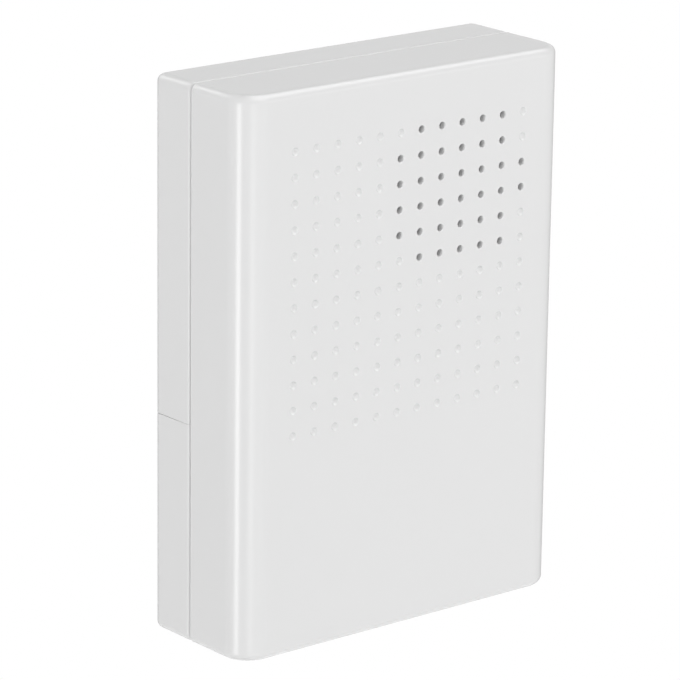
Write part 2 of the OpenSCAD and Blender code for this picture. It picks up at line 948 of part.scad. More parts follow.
// Brass sleeves across the block, each open to its screw and to its inner lead
module terminal_inserts() {
    half = terminal_l / 2 - insert_inset;
    color("goldenrod")
        for (s = [-1, 1])
            let (z = terminal_at(s))
                difference() {
                    bar(terminal_x - half, terminal_x + half, insert_y, z, insert_r);
                    bar(terminal_x - terminal_l, terminal_x + terminal_l, insert_y, z, wire_r);
                    rod(terminal_x, z, insert_y, terminal_y, terminal_screw_r + fit_gap / 2);
                    rod(terminal_x, z, floor_y, insert_y, lead_r + seat_gap);
                }
}

module terminal_screw(s) {
    color("silver")
        translate([terminal_x, insert_y + insert_r + fit_gap, terminal_at(s)])
            slot_screw(terminal_screw_r, terminal_head_r, terminal_screw_l);
}

module terminal_screw_upper() {
    terminal_screw(1);
}

module terminal_screw_lower() {
    terminal_screw(-1);
}

module terminal_fixing_screw() {
    seat_y = terminal_y - fixing_sink;
    tip_y = fixing_tip_y + past / 2;
    color("silver")
        pan_screw(terminal_x, terminal_z, seat_y, fixing_r, fixing_head_r, seat_y - tip_y, fixing_head_h);
}

// Cells and their contacts

// The tail of a contact plate, or the slot in the tray floor that it passes through
module contact_tail(x, s, z, gap) {
    x0 = s > 0 ? x : x - contact_t;
    half = tail_half + gap;
    end_y = dress_y - lead_r - seat_gap - gap;
    block(x0 - gap, x0 + contact_t + gap, end_y, floor_y + past, z - half, z + half);
}

module contact_plate(x, s, z0, z1) {
    x0 = s > 0 ? x : x - contact_t;
    block(x0, x0 + contact_t, floor_y, cell_y + contact_half, z0 - contact_half, z1 + contact_half);
}

module positive_contact() {
    color("lightsteelblue") {
        contact_plate(bay_x1, -1, cell_z(0), cell_z(0));
        contact_tail(bay_x1, -1, cell_z(0), 0);
    }
}

module negative_contact() {
    color("lightsteelblue") {
        contact_plate(bay_x0, 1, cell_z(2), cell_z(2));
        contact_tail(bay_x0, 1, cell_z(2), 0);
    }
}

module link_contact_left() {
    color("lightsteelblue")
        contact_plate(bay_x0, 1, cell_z(1), cell_z(0));
}

module link_contact_right() {
    color("lightsteelblue")
        contact_plate(bay_x1, -1, cell_z(2), cell_z(1));
}

// The wire of a contact spring that starts on the plate at x and narrows towards the cell
function spring_route(x, s, z) =
    let (steps = spring_steps * spring_curls, rise = spring_l - 2 * spring_wire)
        concat(
            [[x, cell_y + spring_r, z]],
            [
                for (i = [0 : steps])
                    let (r = spring_r + (spring_end_r - spring_r) * i / steps, a = 360 * i / spring_steps)
                        [x + s * (spring_wire + rise * i / steps), cell_y + r * cos(a), z + r * sin(a)]
            ],
            [[x + s * spring_l, cell_y + spring_end_r, z]]
        );
// The least gap between two curls, skipping neighbours along the wire
function spring_gap(p) =
    min([
        for (i = [0 : len(p) - 1])
            for (j = [i + spring_steps / 2 : 1 : len(p) - 1])
                norm(p[i] - p[j])
    ]) - spring_wire;

module cell_spring(x, s, z) {
    tube(spring_route(x, s, z), spring_wire / 2, spring_sides, [0, 1, 0]);
}

module cell_springs() {
    left = bay_x0 + contact_t;
    right = bay_x1 - contact_t;
    echo(least_spring_gap = spring_gap(spring_route(left, 1, cell_z(0))));
    color("silver") {
        cell_spring(left, 1, cell_z(0));
        cell_spring(right, -1, cell_z(1));
        cell_spring(left, 1, cell_z(2));
    }
}

// A cell with its tip towards +X (s = 1) or -X (s = -1), the tip on its contact plate
module cell(i, s) {
    tip_x = s > 0 ? bay_x1 - contact_t : bay_x0 + contact_t;
    color("slategray")
        translate([tip_x, cell_y, cell_z(i)])
            mirror([s > 0 ? 1 : 0, 0, 0])
                rotate([0, 90, 0])
                    rotate_extrude()
                        polygon([
                            [0, 0],
                            [tip_d / 2, 0],
                            [tip_d / 2, tip_l],
                            [cell_d / 2 - cell_edge, tip_l],
                            [cell_d / 2, tip_l + cell_edge],
                            [cell_d / 2, cell_l - cell_edge],
                            [cell_d / 2 - cell_edge, cell_l],
                            [0, cell_l]
                        ]);
}

module cell_upper() {
    cell(0, 1);
}

module cell_middle() {
    cell(1, -1);
}

module cell_lower() {
    cell(2, 1);
}

// Inner leads

// From a lug on the loudspeaker over to the board
module speaker_lead(s) {
    z = speaker_z + s * tag_pitch / 2;
    pad_x = board_x1 - 2.5;
    top_y = board_y + 4;
    lead([
        [tag_x, lug_y, z],
        [tag_x, lug_y + 1.5, z],
        [tag_x - 0.5, top_y - 1.5, z],
        [tag_x - 3, top_y, z],
        [pad_x + 3, top_y, z],
        [pad_x + 0.5, top_y - 1, z],
        [pad_x, board_y + 1.5, z],
        [pad_x, board_y, z]
    ], [0, 0, 1]);
}

module speaker_lead_red() {
    color("firebrick")
        speaker_lead(1);
}

module speaker_lead_black() {
    color("black")
        speaker_lead(-1);
}

// The last run of a lead, from below the tray up to a pad on the board
function run_to_board(x) = [
    [x, dress_y, seam_z - 6],
    [x, dress_y, seam_z + 3],
    [x, board_y + 1, seam_z + 12],
    [x, board_y + 3.5, pad_z - 4],
    [x, board_y + 3.5, pad_z - 1.5],
    [x, board_y + 1.5, pad_z],
    [x, board_y, pad_z]
];

module battery_lead_red() {
    x = board_x1 - 2;
    z = cell_z(0);
    color("firebrick")
        lead(concat([
            [bay_x1 - contact_t, dress_y, z],
            [bay_x1 - contact_t - 3, dress_y, z],
            [(bay_x1 + x) / 2, dress_y, z],
            [x + 4, dress_y, z]
        ], run_to_board(x)), [0, 1, 0]);
}

module battery_lead_black() {
    x = bay_x0 - 3;
    z = cell_z(2);
    color("black")
        lead(concat([
            [bay_x0, dress_y, z],
            [bay_x0 - 1.2, dress_y, z],
            [x, dress_y, z + 3],
            [x, dress_y, z + 12]
        ], run_to_board(x)), [0, 1, 0]);
}

// From under a terminal through the tray floor, past the fixing boss and up to the board
module bell_lead(s) {
    z = terminal_at(s);
    x = terminal_x + s * (fixing_boss_r + lead_r + fit_gap);
    color("royalblue")
        lead(concat([
            [terminal_x, insert_y - lead_r, z],
            [terminal_x, floor_y, z],
            [terminal_x, floor_front_y, z],
            [terminal_x + s * 2, dress_y, z + 1],
            [x, dress_y, z + 5]
        ], run_to_board(x)), [1, 0, 0]);
}

module bell_lead_upper() {
    bell_lead(1);
}

module bell_lead_lower() {
    bell_lead(-1);
}

front_cover();
rear_case();
battery_tray();
battery_cover();
case_screws();
speaker_gasket();
speaker_basket();
speaker_surround();
speaker_cone();
dust_cap();
voice_coil();
speaker_top_plate();
speaker_magnet();
speaker_yoke();
speaker_tag_board();
speaker_lugs();
speaker_clamps();
clamp_screws();
circuit_board();
board_screws();
melody_chip();
large_capacitor();
small_capacitor();
transistor();
resistors();
terminal_block();
terminal_inserts();
terminal_screw_upper();
terminal_screw_lower();
terminal_fixing_screw();
positive_contact();
negative_contact();
link_contact_left();
link_contact_right();
cell_springs();
cell_upper();
cell_middle();
cell_lower();
speaker_lead_red();
speaker_lead_black();
battery_lead_red();
battery_lead_black();
bell_lead_upper();
bell_lead_lower();
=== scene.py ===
import math

import bmesh
import bpy
from mathutils import Matrix, Vector


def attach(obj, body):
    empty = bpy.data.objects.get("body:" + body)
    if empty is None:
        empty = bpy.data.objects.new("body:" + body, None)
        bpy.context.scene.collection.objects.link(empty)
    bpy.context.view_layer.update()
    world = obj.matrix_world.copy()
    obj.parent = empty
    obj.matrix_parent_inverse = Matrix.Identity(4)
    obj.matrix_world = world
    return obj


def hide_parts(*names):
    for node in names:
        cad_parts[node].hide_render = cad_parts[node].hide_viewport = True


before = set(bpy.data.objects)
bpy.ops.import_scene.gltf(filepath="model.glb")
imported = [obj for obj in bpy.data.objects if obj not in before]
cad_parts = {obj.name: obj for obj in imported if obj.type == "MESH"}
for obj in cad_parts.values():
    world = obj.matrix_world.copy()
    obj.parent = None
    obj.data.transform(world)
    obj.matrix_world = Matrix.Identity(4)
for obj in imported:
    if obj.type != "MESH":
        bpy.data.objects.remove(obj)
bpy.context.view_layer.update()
scene = bpy.context.scene
scene.view_settings.view_transform = "Standard"
mm = 0.001


# sRGB hex to the linear values that the shaders take
def hexColour(code):
    parts = [int(code[i:i + 2], 16) / 255 for i in (1, 3, 5)]
    return [c / 12.92 if c <= 0.04045 else ((c + 0.055) / 1.055) ** 2.4 for c in parts] + [1.0]


# adds one node with its settings, socket values and links
def addNode(tree, kind, props=None, values=None, links=None):
    node = tree.nodes.new(kind)
    for key, value in (props or {}).items():
        setattr(node, key, value)
    for key, value in (values or {}).items():
        node.inputs[key].default_value = value
    for key, source in (links or {}).items():
        tree.links.new(source, node.inputs[key])
    return node


# camera: matched to the photo's front-left view, a long lens from about 0.91 m
view = {
    "place": (-0.55207, -0.68312, 0.25299),
    "right": (0.7759, -0.63073, 0.01235),
    "up": (0.16826, 0.22577, 0.95954),
    "back": (-0.60801, -0.74242, 0.2813),
    "lensMm": 216.136,
    "sensorMm": 36,
    "nearest": 0.01,
}
cameraData = bpy.data.cameras.new("camera")
cameraData.lens = view["lensMm"]
cameraData.sensor_width = view["sensorMm"]
cameraData.clip_start = view["nearest"]
camera = bpy.data.objects.new("camera", cameraData)
axes = Matrix((view["right"], view["up"], view["back"])).transposed()
camera.matrix_world = Matrix.Translation(view["place"]) @ axes.to_4x4()
scene.collection.objects.link(camera)
scene.camera = camera

# studio: a white surround, with softer light on the object that is weaker from behind it
white = (1, 1, 1, 1)
studio = {
    "floorZ": -0.9, "floorSize": 3.0, "floorColour": "#F2F2F2", "floorRoughness": 0.9, "floorGlow": 0.7,
    "ambientBehind": 0.29, "ambientFront": 0.725, "frontWay": (-0.443, -0.879, 0.0),
    # boxes that light the faces: name, place, width, height and watts
    "boxes": [
        ("keyBox", (-0.476, -1.02, 0.65), 0.5, 0.5, 0.65),
        ("leftBox", (-1.213, -0.325, 0.337), 0.5, 0.5, 4.0),
        ("fillBox", (0.74, -1.055, 0.16), 0.5, 0.5, 4.4),
        ("topBox", (0.26, 0.65, 1.1), 0.5, 0.5, 1.2),
        ("rearBox", (0.85, 1.04, -0.39), 0.6, 0.6, 9.0),
    ],
    # panels that only reflections see, which draw the rounded edges
    "panels": [
        ("rightStrip", (-0.606, -1.093, -0.358), 0.3, 0.4, 0.65),
        ("leftStrip", (-1.231, -0.217, -0.358), 0.34, 0.4, 2.6),
        ("overPanel", (0.35, -0.25, 1.1), 1.7, 1.0, 14.0),
        ("rimPanel", (-0.364, 0.966, 0.789), 0.5, 0.5, 1.7),
    ],
    # grey cards behind the object that only reflections see, which draw its outline: name, place and size
    "cardColour": "#AAAAAA", "cardRoughness": 0.95,
    "cards": [
        ("leftCard", (0.065, 0.572, -0.147), 0.44, 0.5),
        ("rightCard", (0.556, 0.177, -0.139), 0.44, 0.5),
        ("footCard", (0.33, 0.42, -0.28), 0.7, 0.42),
    ],
}


# one where the camera, a reflection or a clear material looks at the surround
def seenRays(tree):
    rays = addNode(tree, "ShaderNodeLightPath")
    direct = addNode(tree, "ShaderNodeMath", {"operation": "MAXIMUM"},
                     links={0: rays.outputs["Is Camera Ray"], 1: rays.outputs["Is Transmission Ray"]})
    return addNode(tree, "ShaderNodeMath", {"operation": "MAXIMUM"},
                   links={0: direct.outputs[0], 1: rays.outputs["Is Glossy Ray"]}).outputs[0]


world = bpy.data.worlds.new("studio")
world.use_nodes = True
tree = world.node_tree
tree.nodes.clear()
way = addNode(tree, "ShaderNodeTexCoord").outputs["Generated"]
facing = addNode(tree, "ShaderNodeVectorMath", {"operation": "DOT_PRODUCT"},
                 {1: studio["frontWay"]}, {0: way})
level = addNode(tree, "ShaderNodeMapRange", links={"Value": facing.outputs["Value"]}, values={
    "From Min": -1, "From Max": 1, "To Min": studio["ambientBehind"], "To Max": studio["ambientFront"]})
ambient = addNode(tree, "ShaderNodeBackground", values={"Color": white},
                  links={"Strength": level.outputs[0]})
backdrop = addNode(tree, "ShaderNodeBackground", values={"Color": white, "Strength": 1})
both = addNode(tree, "ShaderNodeMixShader",
               links={0: seenRays(tree), 1: ambient.outputs[0], 2: backdrop.outputs[0]})
addNode(tree, "ShaderNodeOutputWorld", links={"Surface": both.outputs[0]})
scene.world = world


# an area lamp that faces the object, for its reflections alone or for all but them
def addLamp(name, place, width, height, watts, mirrored):
    data = bpy.data.lights.new(name, "AREA")
    data.shape = "RECTANGLE"
    data.size = width
    data.size_y = height
    data.energy = watts
    obj = bpy.data.objects.new(name, data)
    turn = Vector(place).to_track_quat("Z", "Y").to_matrix()
    obj.matrix_world = Matrix.Translation(place) @ turn.to_4x4()
    obj.visible_camera = False
    obj.visible_glossy = mirrored
    obj.visible_diffuse = not mirrored
    scene.collection.objects.link(obj)


for row in studio["boxes"]:
    addLamp(*row, mirrored=False)
for row in studio["panels"]:
    addLamp(*row, mirrored=True)


def newMaterial(name):
    material = bpy.data.materials.new(name)
    material.use_nodes = True
    tree = material.node_tree
    tree.nodes.clear()
    place = addNode(tree, "ShaderNodeTexCoord").outputs["Object"]
    shader = addNode(tree, "ShaderNodeBsdfPrincipled")
    addNode(tree, "ShaderNodeOutputMaterial", links={"Surface": shader.outputs["BSDF"]})
    return material, tree, place, shader


# floor: painted board, white to the camera but still taking the object's shadow
def floorPaint():
    material, tree, place, shader = newMaterial("painted_board")
    shader.inputs["Roughness"].default_value = studio["floorRoughness"]
    shader.inputs["Base Color"].default_value = hexColour(studio["floorColour"])
    shader.inputs["Emission Color"].default_value = white
    glow = addNode(tree, "ShaderNodeMath", {"operation": "MULTIPLY"},
                   {1: studio["floorGlow"]}, {0: seenRays(tree)})
    tree.links.new(glow.outputs[0], shader.inputs["Emission Strength"])
    return material


# cards: matt grey paper
def cardPaper():
    material, tree, place, shader = newMaterial("card_paper")
    shader.inputs["Roughness"].default_value = studio["cardRoughness"]
    shader.inputs["Base Color"].default_value = hexColour(studio["cardColour"])
    return material


def stageSheet(name, corners, material):
    mesh = bpy.data.meshes.new(name)
    mesh.from_pydata(corners, [], [(0, 1, 2, 3)])
    mesh.materials.append(material)
    obj = bpy.data.objects.new(name, mesh)
    scene.collection.objects.link(obj)
    return obj


square = ((-1, -1), (1, -1), (1, 1), (-1, 1))
half = studio["floorSize"] / 2
stageSheet("floor", [(x * half, y * half, studio["floorZ"]) for x, y in square], floorPaint())
paper = cardPaper()
for name, place, width, height in studio["cards"]:
    turn = Vector(place).to_track_quat("-Z", "Y").to_matrix()
    corners = [Vector(place) + turn @ Vector((x * width / 2, y * height / 2, 0)) for x, y in square]
    obj = stageSheet(name, corners, paper)
    obj.visible_camera = False
    obj.visible_diffuse = False
    obj.visible_shadow = False
    obj.visible_transmission = False
print("camera, light, floor and cards set")


# how all finishes vary: the detail of their noise, and how far the roughness strays
vary = {
    "cloudDetail": 3, "grainDetail": 2, "mouldedStray": 0.03,
    "lineDetail": 3, "lineStrength": 0.6, "patchMm": 4, "patchDetail": 4,
    "metalBelow": 0.08, "metalAbove": 0.12,
}


def joinFinish(tree, shader, tint, gloss, bump):
    tree.links.new(tint.outputs[2], shader.inputs["Base Color"])
    tree.links.new(gloss.outputs[0], shader.inputs["Roughness"])
    tree.links.new(bump.outputs[0], shader.inputs["Normal"])


# a plastic, a coating or an enamel: a faint cloud of tone, a fine grain and a slightly uneven gloss
def mouldedFinish(name, colour, darker, roughness, grainMm, depthMm, cloudMm, ior=1.5):
    material, tree, place, shader = newMaterial(name)
    cloud = addNode(tree, "ShaderNodeTexNoise", links={"Vector": place},
                    values={"Scale": 1 / (cloudMm * mm), "Detail": vary["cloudDetail"]})
    tint = addNode(tree, "ShaderNodeMix", {"data_type": "RGBA"},
                   {6: hexColour(colour), 7: hexColour(darker)}, {0: cloud.outputs["Fac"]})
    gloss = addNode(tree, "ShaderNodeMapRange", links={"Value": cloud.outputs["Fac"]}, values={
        "To Min": roughness - vary["mouldedStray"], "To Max": roughness + vary["mouldedStray"]})
    grain = addNode(tree, "ShaderNodeTexNoise", links={"Vector": place},
                    values={"Scale": 1 / (grainMm * mm), "Detail": vary["grainDetail"]})
    bump = addNode(tree, "ShaderNodeBump", links={"Height": grain.outputs["Fac"]},
                   values={"Strength": 1, "Distance": depthMm * mm})
    shader.inputs["IOR"].default_value = ior
    joinFinish(tree, shader, tint, gloss, bump)
    return material


# a plated, turned or pressed metal: dull patches over a bright coat, with fine drawing lines
def metalFinish(name, colour, dull, roughness, lineMm, depthMm, stretch=(1, 1, 6)):
    material, tree, place, shader = newMaterial(name)
    drawn = addNode(tree, "ShaderNodeMapping", values={"Scale": stretch}, links={"Vector": place})
    lines = addNode(tree, "ShaderNodeTexNoise", links={"Vector": drawn.outputs[0]},
                    values={"Scale": 1 / (lineMm * mm), "Detail": vary["lineDetail"]})
    patch = addNode(tree, "ShaderNodeTexNoise", links={"Vector": place},
                    values={"Scale": 1 / (vary["patchMm"] * mm), "Detail": vary["patchDetail"]})
    tint = addNode(tree, "ShaderNodeMix", {"data_type": "RGBA"},
                   {6: hexColour(colour), 7: hexColour(dull)}, {0: patch.outputs["Fac"]})
    gloss = addNode(tree, "ShaderNodeMapRange", links={"Value": patch.outputs["Fac"]}, values={
        "To Min": roughness - vary["metalBelow"], "To Max": roughness + vary["metalAbove"]})
    bump = addNode(tree, "ShaderNodeBump", links={"Height": lines.outputs["Fac"]},
                   values={"Strength": vary["lineStrength"], "Distance": depthMm * mm})
    shader.inputs["Metallic"].default_value = 1
    joinFinish(tree, shader, tint, gloss, bump)
    return material


# white ABS, moulded in a finely matted tool: satin, with wide soft highlights; the real grain of about
# 0.1 mm is drawn at 0.5 mm, the finest that shows
absWhite = mouldedFinish("abs_white_moulded", "#EBEBEB", "#E9E9E9", roughness=0.26,
                         grainMm=0.5, depthMm=0.0015, cloudMm=40, ior=1.53)
# steel screws, rolled and zinc plated: cool grey with a dull bloom
screwSteel = metalFinish("steel_zinc_plated", "#C6C9CC", "#9FA3A6", roughness=0.34,
                         lineMm=0.5, depthMm=0.006)
# steel sheet, pressed and plated: flat grey with broad drawing lines
platedSteel = metalFinish("steel_pressed_plated", "#BFC2C4", "#A3A6A8", roughness=0.38,
                          lineMm=0.8, depthMm=0.008)
# spring steel, nickel plated: warmer and brighter than zinc, rubbed along the strip
nickelStrip = metalFinish("spring_steel_nickel_plated", "#CFCBC2", "#ABA79E", roughness=0.28,
                          lineMm=0.6, depthMm=0.005)
# nickel-plated steel drawn into a cell's can: smooth, with lines along its length
cellSteel = metalFinish("steel_drawn_nickel_plated", "#D2D1CC", "#B2B0AA", roughness=0.26,
                        lineMm=0.6, depthMm=0.004, stretch=(1, 6, 6))
# brass, drawn and cut: yellow with brown patches
brass = metalFinish("brass_drawn", "#C8A860", "#9C7F42", roughness=0.36, lineMm=0.5, depthMm=0.006)
# enamelled copper wire wound on a former: brown red, ridged by the turns of about 0.15 mm drawn at 0.3 mm
coilCopper = metalFinish("copper_enamelled_wound", "#B4673A", "#8E4C28", roughness=0.3,
                         lineMm=0.3, depthMm=0.02, stretch=(0.2, 6, 0.2))
# polyethylene foam, cut from sheet: dark, dry and full of small cells of about 0.4 mm
gasketFoam = mouldedFinish("polyethylene_foam_cut", "#3A3A3C", "#29292B", roughness=0.85,
                           grainMm=0.4, depthMm=0.12, cloudMm=5)
# polyester film, hot formed: dark grey with a dull sheen
coneFilm = mouldedFinish("polyester_film_formed", "#4B4B4E", "#3C3C3F", roughness=0.42,
                         grainMm=0.8, depthMm=0.01, cloudMm=6)
# ferrite, pressed and sintered: near black, matt and slightly gritty
ferrite = mouldedFinish("ferrite_sintered", "#3B3A3B", "#2C2B2C", roughness=0.6,
                        grainMm=0.35, depthMm=0.02, cloudMm=4)
# paper phenolic laminate, punched: warm brown with flecks of paper fibre about 1 mm long
phenolic = mouldedFinish("phenolic_paper_laminate", "#B88A52", "#8F6636", roughness=0.45,
                         grainMm=1.0, depthMm=0.01, cloudMm=1.5)
# black epoxy, cast or moulded over the chips: dull, with a faint cloud
chipEpoxy = mouldedFinish("epoxy_black_cast", "#242426", "#18181A", roughness=0.4,
                          grainMm=0.5, depthMm=0.006, cloudMm=3)
# PVC sleeve shrunk on the capacitors: dark blue and smooth
sleeveBlue = mouldedFinish("pvc_sleeve_shrunk", "#27375C", "#1E2C4C", roughness=0.3,
                           grainMm=0.8, depthMm=0.004, cloudMm=6)
# lacquer dipped over the resistors: sand coloured with soft edges
lacquer = mouldedFinish("lacquer_dipped", "#CBB083", "#B59A6C", roughness=0.35,
                        grainMm=0.6, depthMm=0.008, cloudMm=2)
# polyamide, moulded: creamy white, a little softer and darker than the case
polyamide = mouldedFinish("polyamide_moulded", "#D9D5C8", "#CCC7B8", roughness=0.4,
                          grainMm=0.5, depthMm=0.004, cloudMm=8, ior=1.53)
# PVC film shrunk on the cells: plain dark grey green with a smooth sheen
jacketFilm = mouldedFinish("pvc_film_shrunk", "#3F4A4B", "#364041", roughness=0.32,
                           grainMm=1.5, depthMm=0.006, cloudMm=12)
# PVC drawn over wire: flexible insulation with a waxy sheen
redPvc = mouldedFinish("pvc_red_extruded", "#B3241F", "#9C1D1A", roughness=0.4,
                       grainMm=0.6, depthMm=0.006, cloudMm=8)
blackPvc = mouldedFinish("pvc_black_extruded", "#232325", "#1A1A1C", roughness=0.42,
                         grainMm=0.6, depthMm=0.006, cloudMm=8)
bluePvc = mouldedFinish("pvc_blue_extruded", "#24508F", "#1D437A", roughness=0.4,
                        grainMm=0.6, depthMm=0.006, cloudMm=8)
print("finishes made")


def link(name, mesh, *materials):
    for material in materials:
        mesh.materials.append(material)
    obj = bpy.data.objects.new(name, mesh)
    scene.collection.objects.link(obj)
    return obj


# a bmesh drawn in millimetres becomes an object in metres
def fromBmesh(name, bm):
    bmesh.ops.transform(bm, matrix=Matrix.Scale(mm, 4), verts=bm.verts)
    mesh = bpy.data.meshes.new(name)
    bm.to_mesh(mesh)
    bm.free()
    return link(name, mesh)


# turns the evaluated object into a plain mesh and drops its modifiers
def settle(obj):
    bpy.context.view_layer.update()
    evaluated = obj.evaluated_get(bpy.context.evaluated_depsgraph_get())
    mesh = bpy.data.meshes.new_from_object(evaluated)
    obj.modifiers.clear()
    old = obj.data
    obj.data = mesh
    mesh.name = obj.name
    bpy.data.meshes.remove(old)
    return obj


# smooth shading that keeps flats flat and edges over the angle crisp
def shade(obj, degrees=32):
    for polygon in obj.data.polygons:
        polygon.use_smooth = True
    obj.data.set_sharp_from_angle(angle=math.radians(degrees))
    weighted = obj.modifiers.new("weighted", "WEIGHTED_NORMAL")
    weighted.keep_sharp = True
    weighted.weight = 100  # the large faces decide
    return settle(obj)


def dress(obj, body, slot, *nodes):
    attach(obj, body)
    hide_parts(*nodes)


# a modifier of the tree, its inputs set by identifier before the first evaluation
def runTree(obj, tree, values):
    modifier = obj.modifiers.new(tree.name, "NODES")
    modifier.node_group = tree
    for item in tree.interface.items_tree:
        if item.item_type == "SOCKET" and item.in_out == "INPUT" and item.name in values:
            modifier[item.identifier] = values[item.name]
    return settle(obj)


def newTree(name, inputs):
    tree = bpy.data.node_groups.new(name, "GeometryNodeTree")
    tree.interface.new_socket("Geometry", in_out="INPUT", socket_type="NodeSocketGeometry")
    for label, kind in inputs:
        tree.interface.new_socket(label, in_out="INPUT", socket_type="NodeSocket" + kind)
    tree.interface.new_socket("Geometry", in_out="OUTPUT", socket_type="NodeSocketGeometry")
    return tree, addNode(tree, "NodeGroupInput").outputs


# the end of every tree: real geometry in one material
def closeTree(tree, geometry, material):
    real = addNode(tree, "GeometryNodeRealizeInstances", links={"Geometry": geometry})
    coated = addNode(tree, "GeometryNodeSetMaterial",
                     links={"Geometry": real.outputs[0], "Material": material})
    addNode(tree, "NodeGroupOutput", links={0: coated.outputs[0]})
    return tree


# a turned part about Y through (x, z); the outline is (radius, y), from axis to axis or closed on itself
def turnPart(bm, x, z, outline, steps=32, closed=False):
    turns = [2 * math.pi * k / steps for k in range(steps)]
    loops = []
    for radius, y in outline:
        if radius == 0:
            loops.append([bm.verts.new((x, y, z))])
        else:
            ring = [(x + radius * math.cos(a), y, z + radius * math.sin(a)) for a in turns]
            loops.append([bm.verts.new(point) for point in ring])
    faces = []
    for a, b in zip(loops, loops[1:] + (loops[:1] if closed else [])):
        for k in range(steps):
            corners = [a[k % len(a)], a[(k + 1) % steps % len(a)], b[(k + 1) % steps % len(b)], b[k % len(b)]]
            faces.append(bm.faces.new(list(dict.fromkeys(corners))))
    bmesh.ops.recalc_face_normals(bm, faces=faces)


# places inside the case that several pieces share, in millimetres; points are (x, z)
casePoints = [(-38.5, 56), (38.5, 56), (-38.5, -5), (38.5, -5)]
boardPoints = [(-37.5, 44.5), (-17.5, 44.5), (-37.5, 17)]
speakerAt = (14.25, 35.4)
clampReach, clampAngles = 25.4, (-16.5, 145, 250)
clampPoints = [(speakerAt[0] + clampReach * math.cos(math.radians(a)),
                speakerAt[1] + clampReach * math.sin(math.radians(a))) for a in clampAngles]
terminalX, terminalZs, fixingZ = -30.25, (-35.85, -45.85), -40.85
cellY, cellZs, cellLeft, cellRight = -9.55, (-22.25, -37.05, -51.85), -18, 40

# front cover: a shell swept round the plan, with a field of through holes and dimples; the rings of a
# dimple are shares of its radius, and of its depth at the brim
front = {
    "halfW": 45.0, "halfH": 62.75, "frontY": -32.0, "rimY": -13.6, "wall": 2.0,
    "cornerR": 6.5, "edgeR": 1.8, "cornerSteps": 18, "edgeSteps": 6,
    "rimT": 1.0, "rebateY": -16.1, "rimSoft": 0.06, "rimSegments": 3,
    "pitchX": 5.8, "pitchZ": 5.7, "count": 12, "fieldX": 0.33, "fieldZ": 18.3, "tileSteps": 6, "weld": 0.02,
    "holeR": 0.8, "mouth": 0.25, "mouthSteps": 4,
    "dimpleR": 0.95, "dimpleDepth": 0.6, "brim": [(1.12, 0), (0.98, 0.07)], "bowl": [0.85, 0.65, 0.42, 0.18],
    "openX": 14.13, "openZ": 35.4, "openR": 19.4,
}


def planPath(halfW, frontY, radius, backY, steps):
    path = [(-halfW, backY, -1, 0)]
    for side, first in ((-1, 180), (1, 270)):
        for i in range(steps + 1):
            a = math.radians(first + 90 * i / steps)
            nx, ny = math.cos(a), math.sin(a)
            path.append((side * (halfW - radius) + radius * nx, frontY + radius + radius * ny, nx, ny))
    return path + [(halfW, backY, 1, 0)]


# a skin over the plan path, row by row; skip leaves one quad of the flat front open
def sweepSkin(bm, path, rows, skip, inward):
    grid = [[bm.verts.new((x - nx * inset, y - ny * inset, z)) for inset, z in rows] for x, y, nx, ny in path]
    for i in range(len(path) - 1):
        for j in range(len(rows) - 1):
            if (i, j) != skip:
                quad = [grid[i][j], grid[i + 1][j], grid[i + 1][j + 1], grid[i][j + 1]]
                bm.faces.new(reversed(quad) if inward else quad)
    top = [column[-1] for column in grid]
    low = [column[0] for column in grid]
    bm.faces.new(reversed(top) if inward else top)
    bm.faces.new(low if inward else reversed(low))
    return grid


# points round the edge of count by count tiles of the field, each side in n steps
def fieldEdge(count, n):
    w, h = count * front["pitchX"] / 2, count * front["pitchZ"] / 2
    steps = [-1 + 2 * i / n for i in range(n)]
    return ([(w * s, -h) for s in steps] + [(w, h * s) for s in steps] + [(-w * s, h) for s in steps]
            + [(-w, -h * s) for s in steps])


# four flat pieces between a rectangle and the finely divided edge of the hole field inside it
def frameFlat(bm, corners, y, inward):
    n = front["count"] * front["tileSteps"]
    edge = fieldEdge(front["count"], n)
    ring = [bm.verts.new((front["fieldX"] + x, y, front["fieldZ"] + z)) for x, z in edge]
    for side in range(4):
        run = [ring[(side * n + i) % len(ring)] for i in range(n + 1)]
        face = [corners[side], corners[(side + 1) % 4]] + run[::-1]
        bm.faces.new(reversed(face) if inward else face)


# one tile of the field, centred on X and Z; rings are (radius, depth) from the flat inwards
def fieldTile(name, rings, through):
    bm = bmesh.new()
    edge = fieldEdge(1, front["tileSteps"])
    count = len(edge)
    firstTurn = 225  # towards the lower left corner, where the edge starts
    loops = [[bm.verts.new((x, front["frontY"], z)) for x, z in edge]]
    for radius, depth in rings:
        loop = []
        for k in range(count):
            a = math.radians(firstTurn + 360 * k / count)
            loop.append(bm.verts.new((radius * math.cos(a), front["frontY"] + depth, radius * math.sin(a))))
        loops.append(loop)
    back = [bm.verts.new((x, front["frontY"] + front["wall"], z)) for x, z in edge]
    if through:
        loops.append(back)
    else:
        bm.faces.new(reversed(back))
        bm.faces.new(loops[-1])
    for a, b in zip(loops, loops[1:]):
        for k in range(count):
            bm.faces.new((a[k], a[(k + 1) % count], b[(k + 1) % count], b[k]))
    return fromBmesh(name, bm)


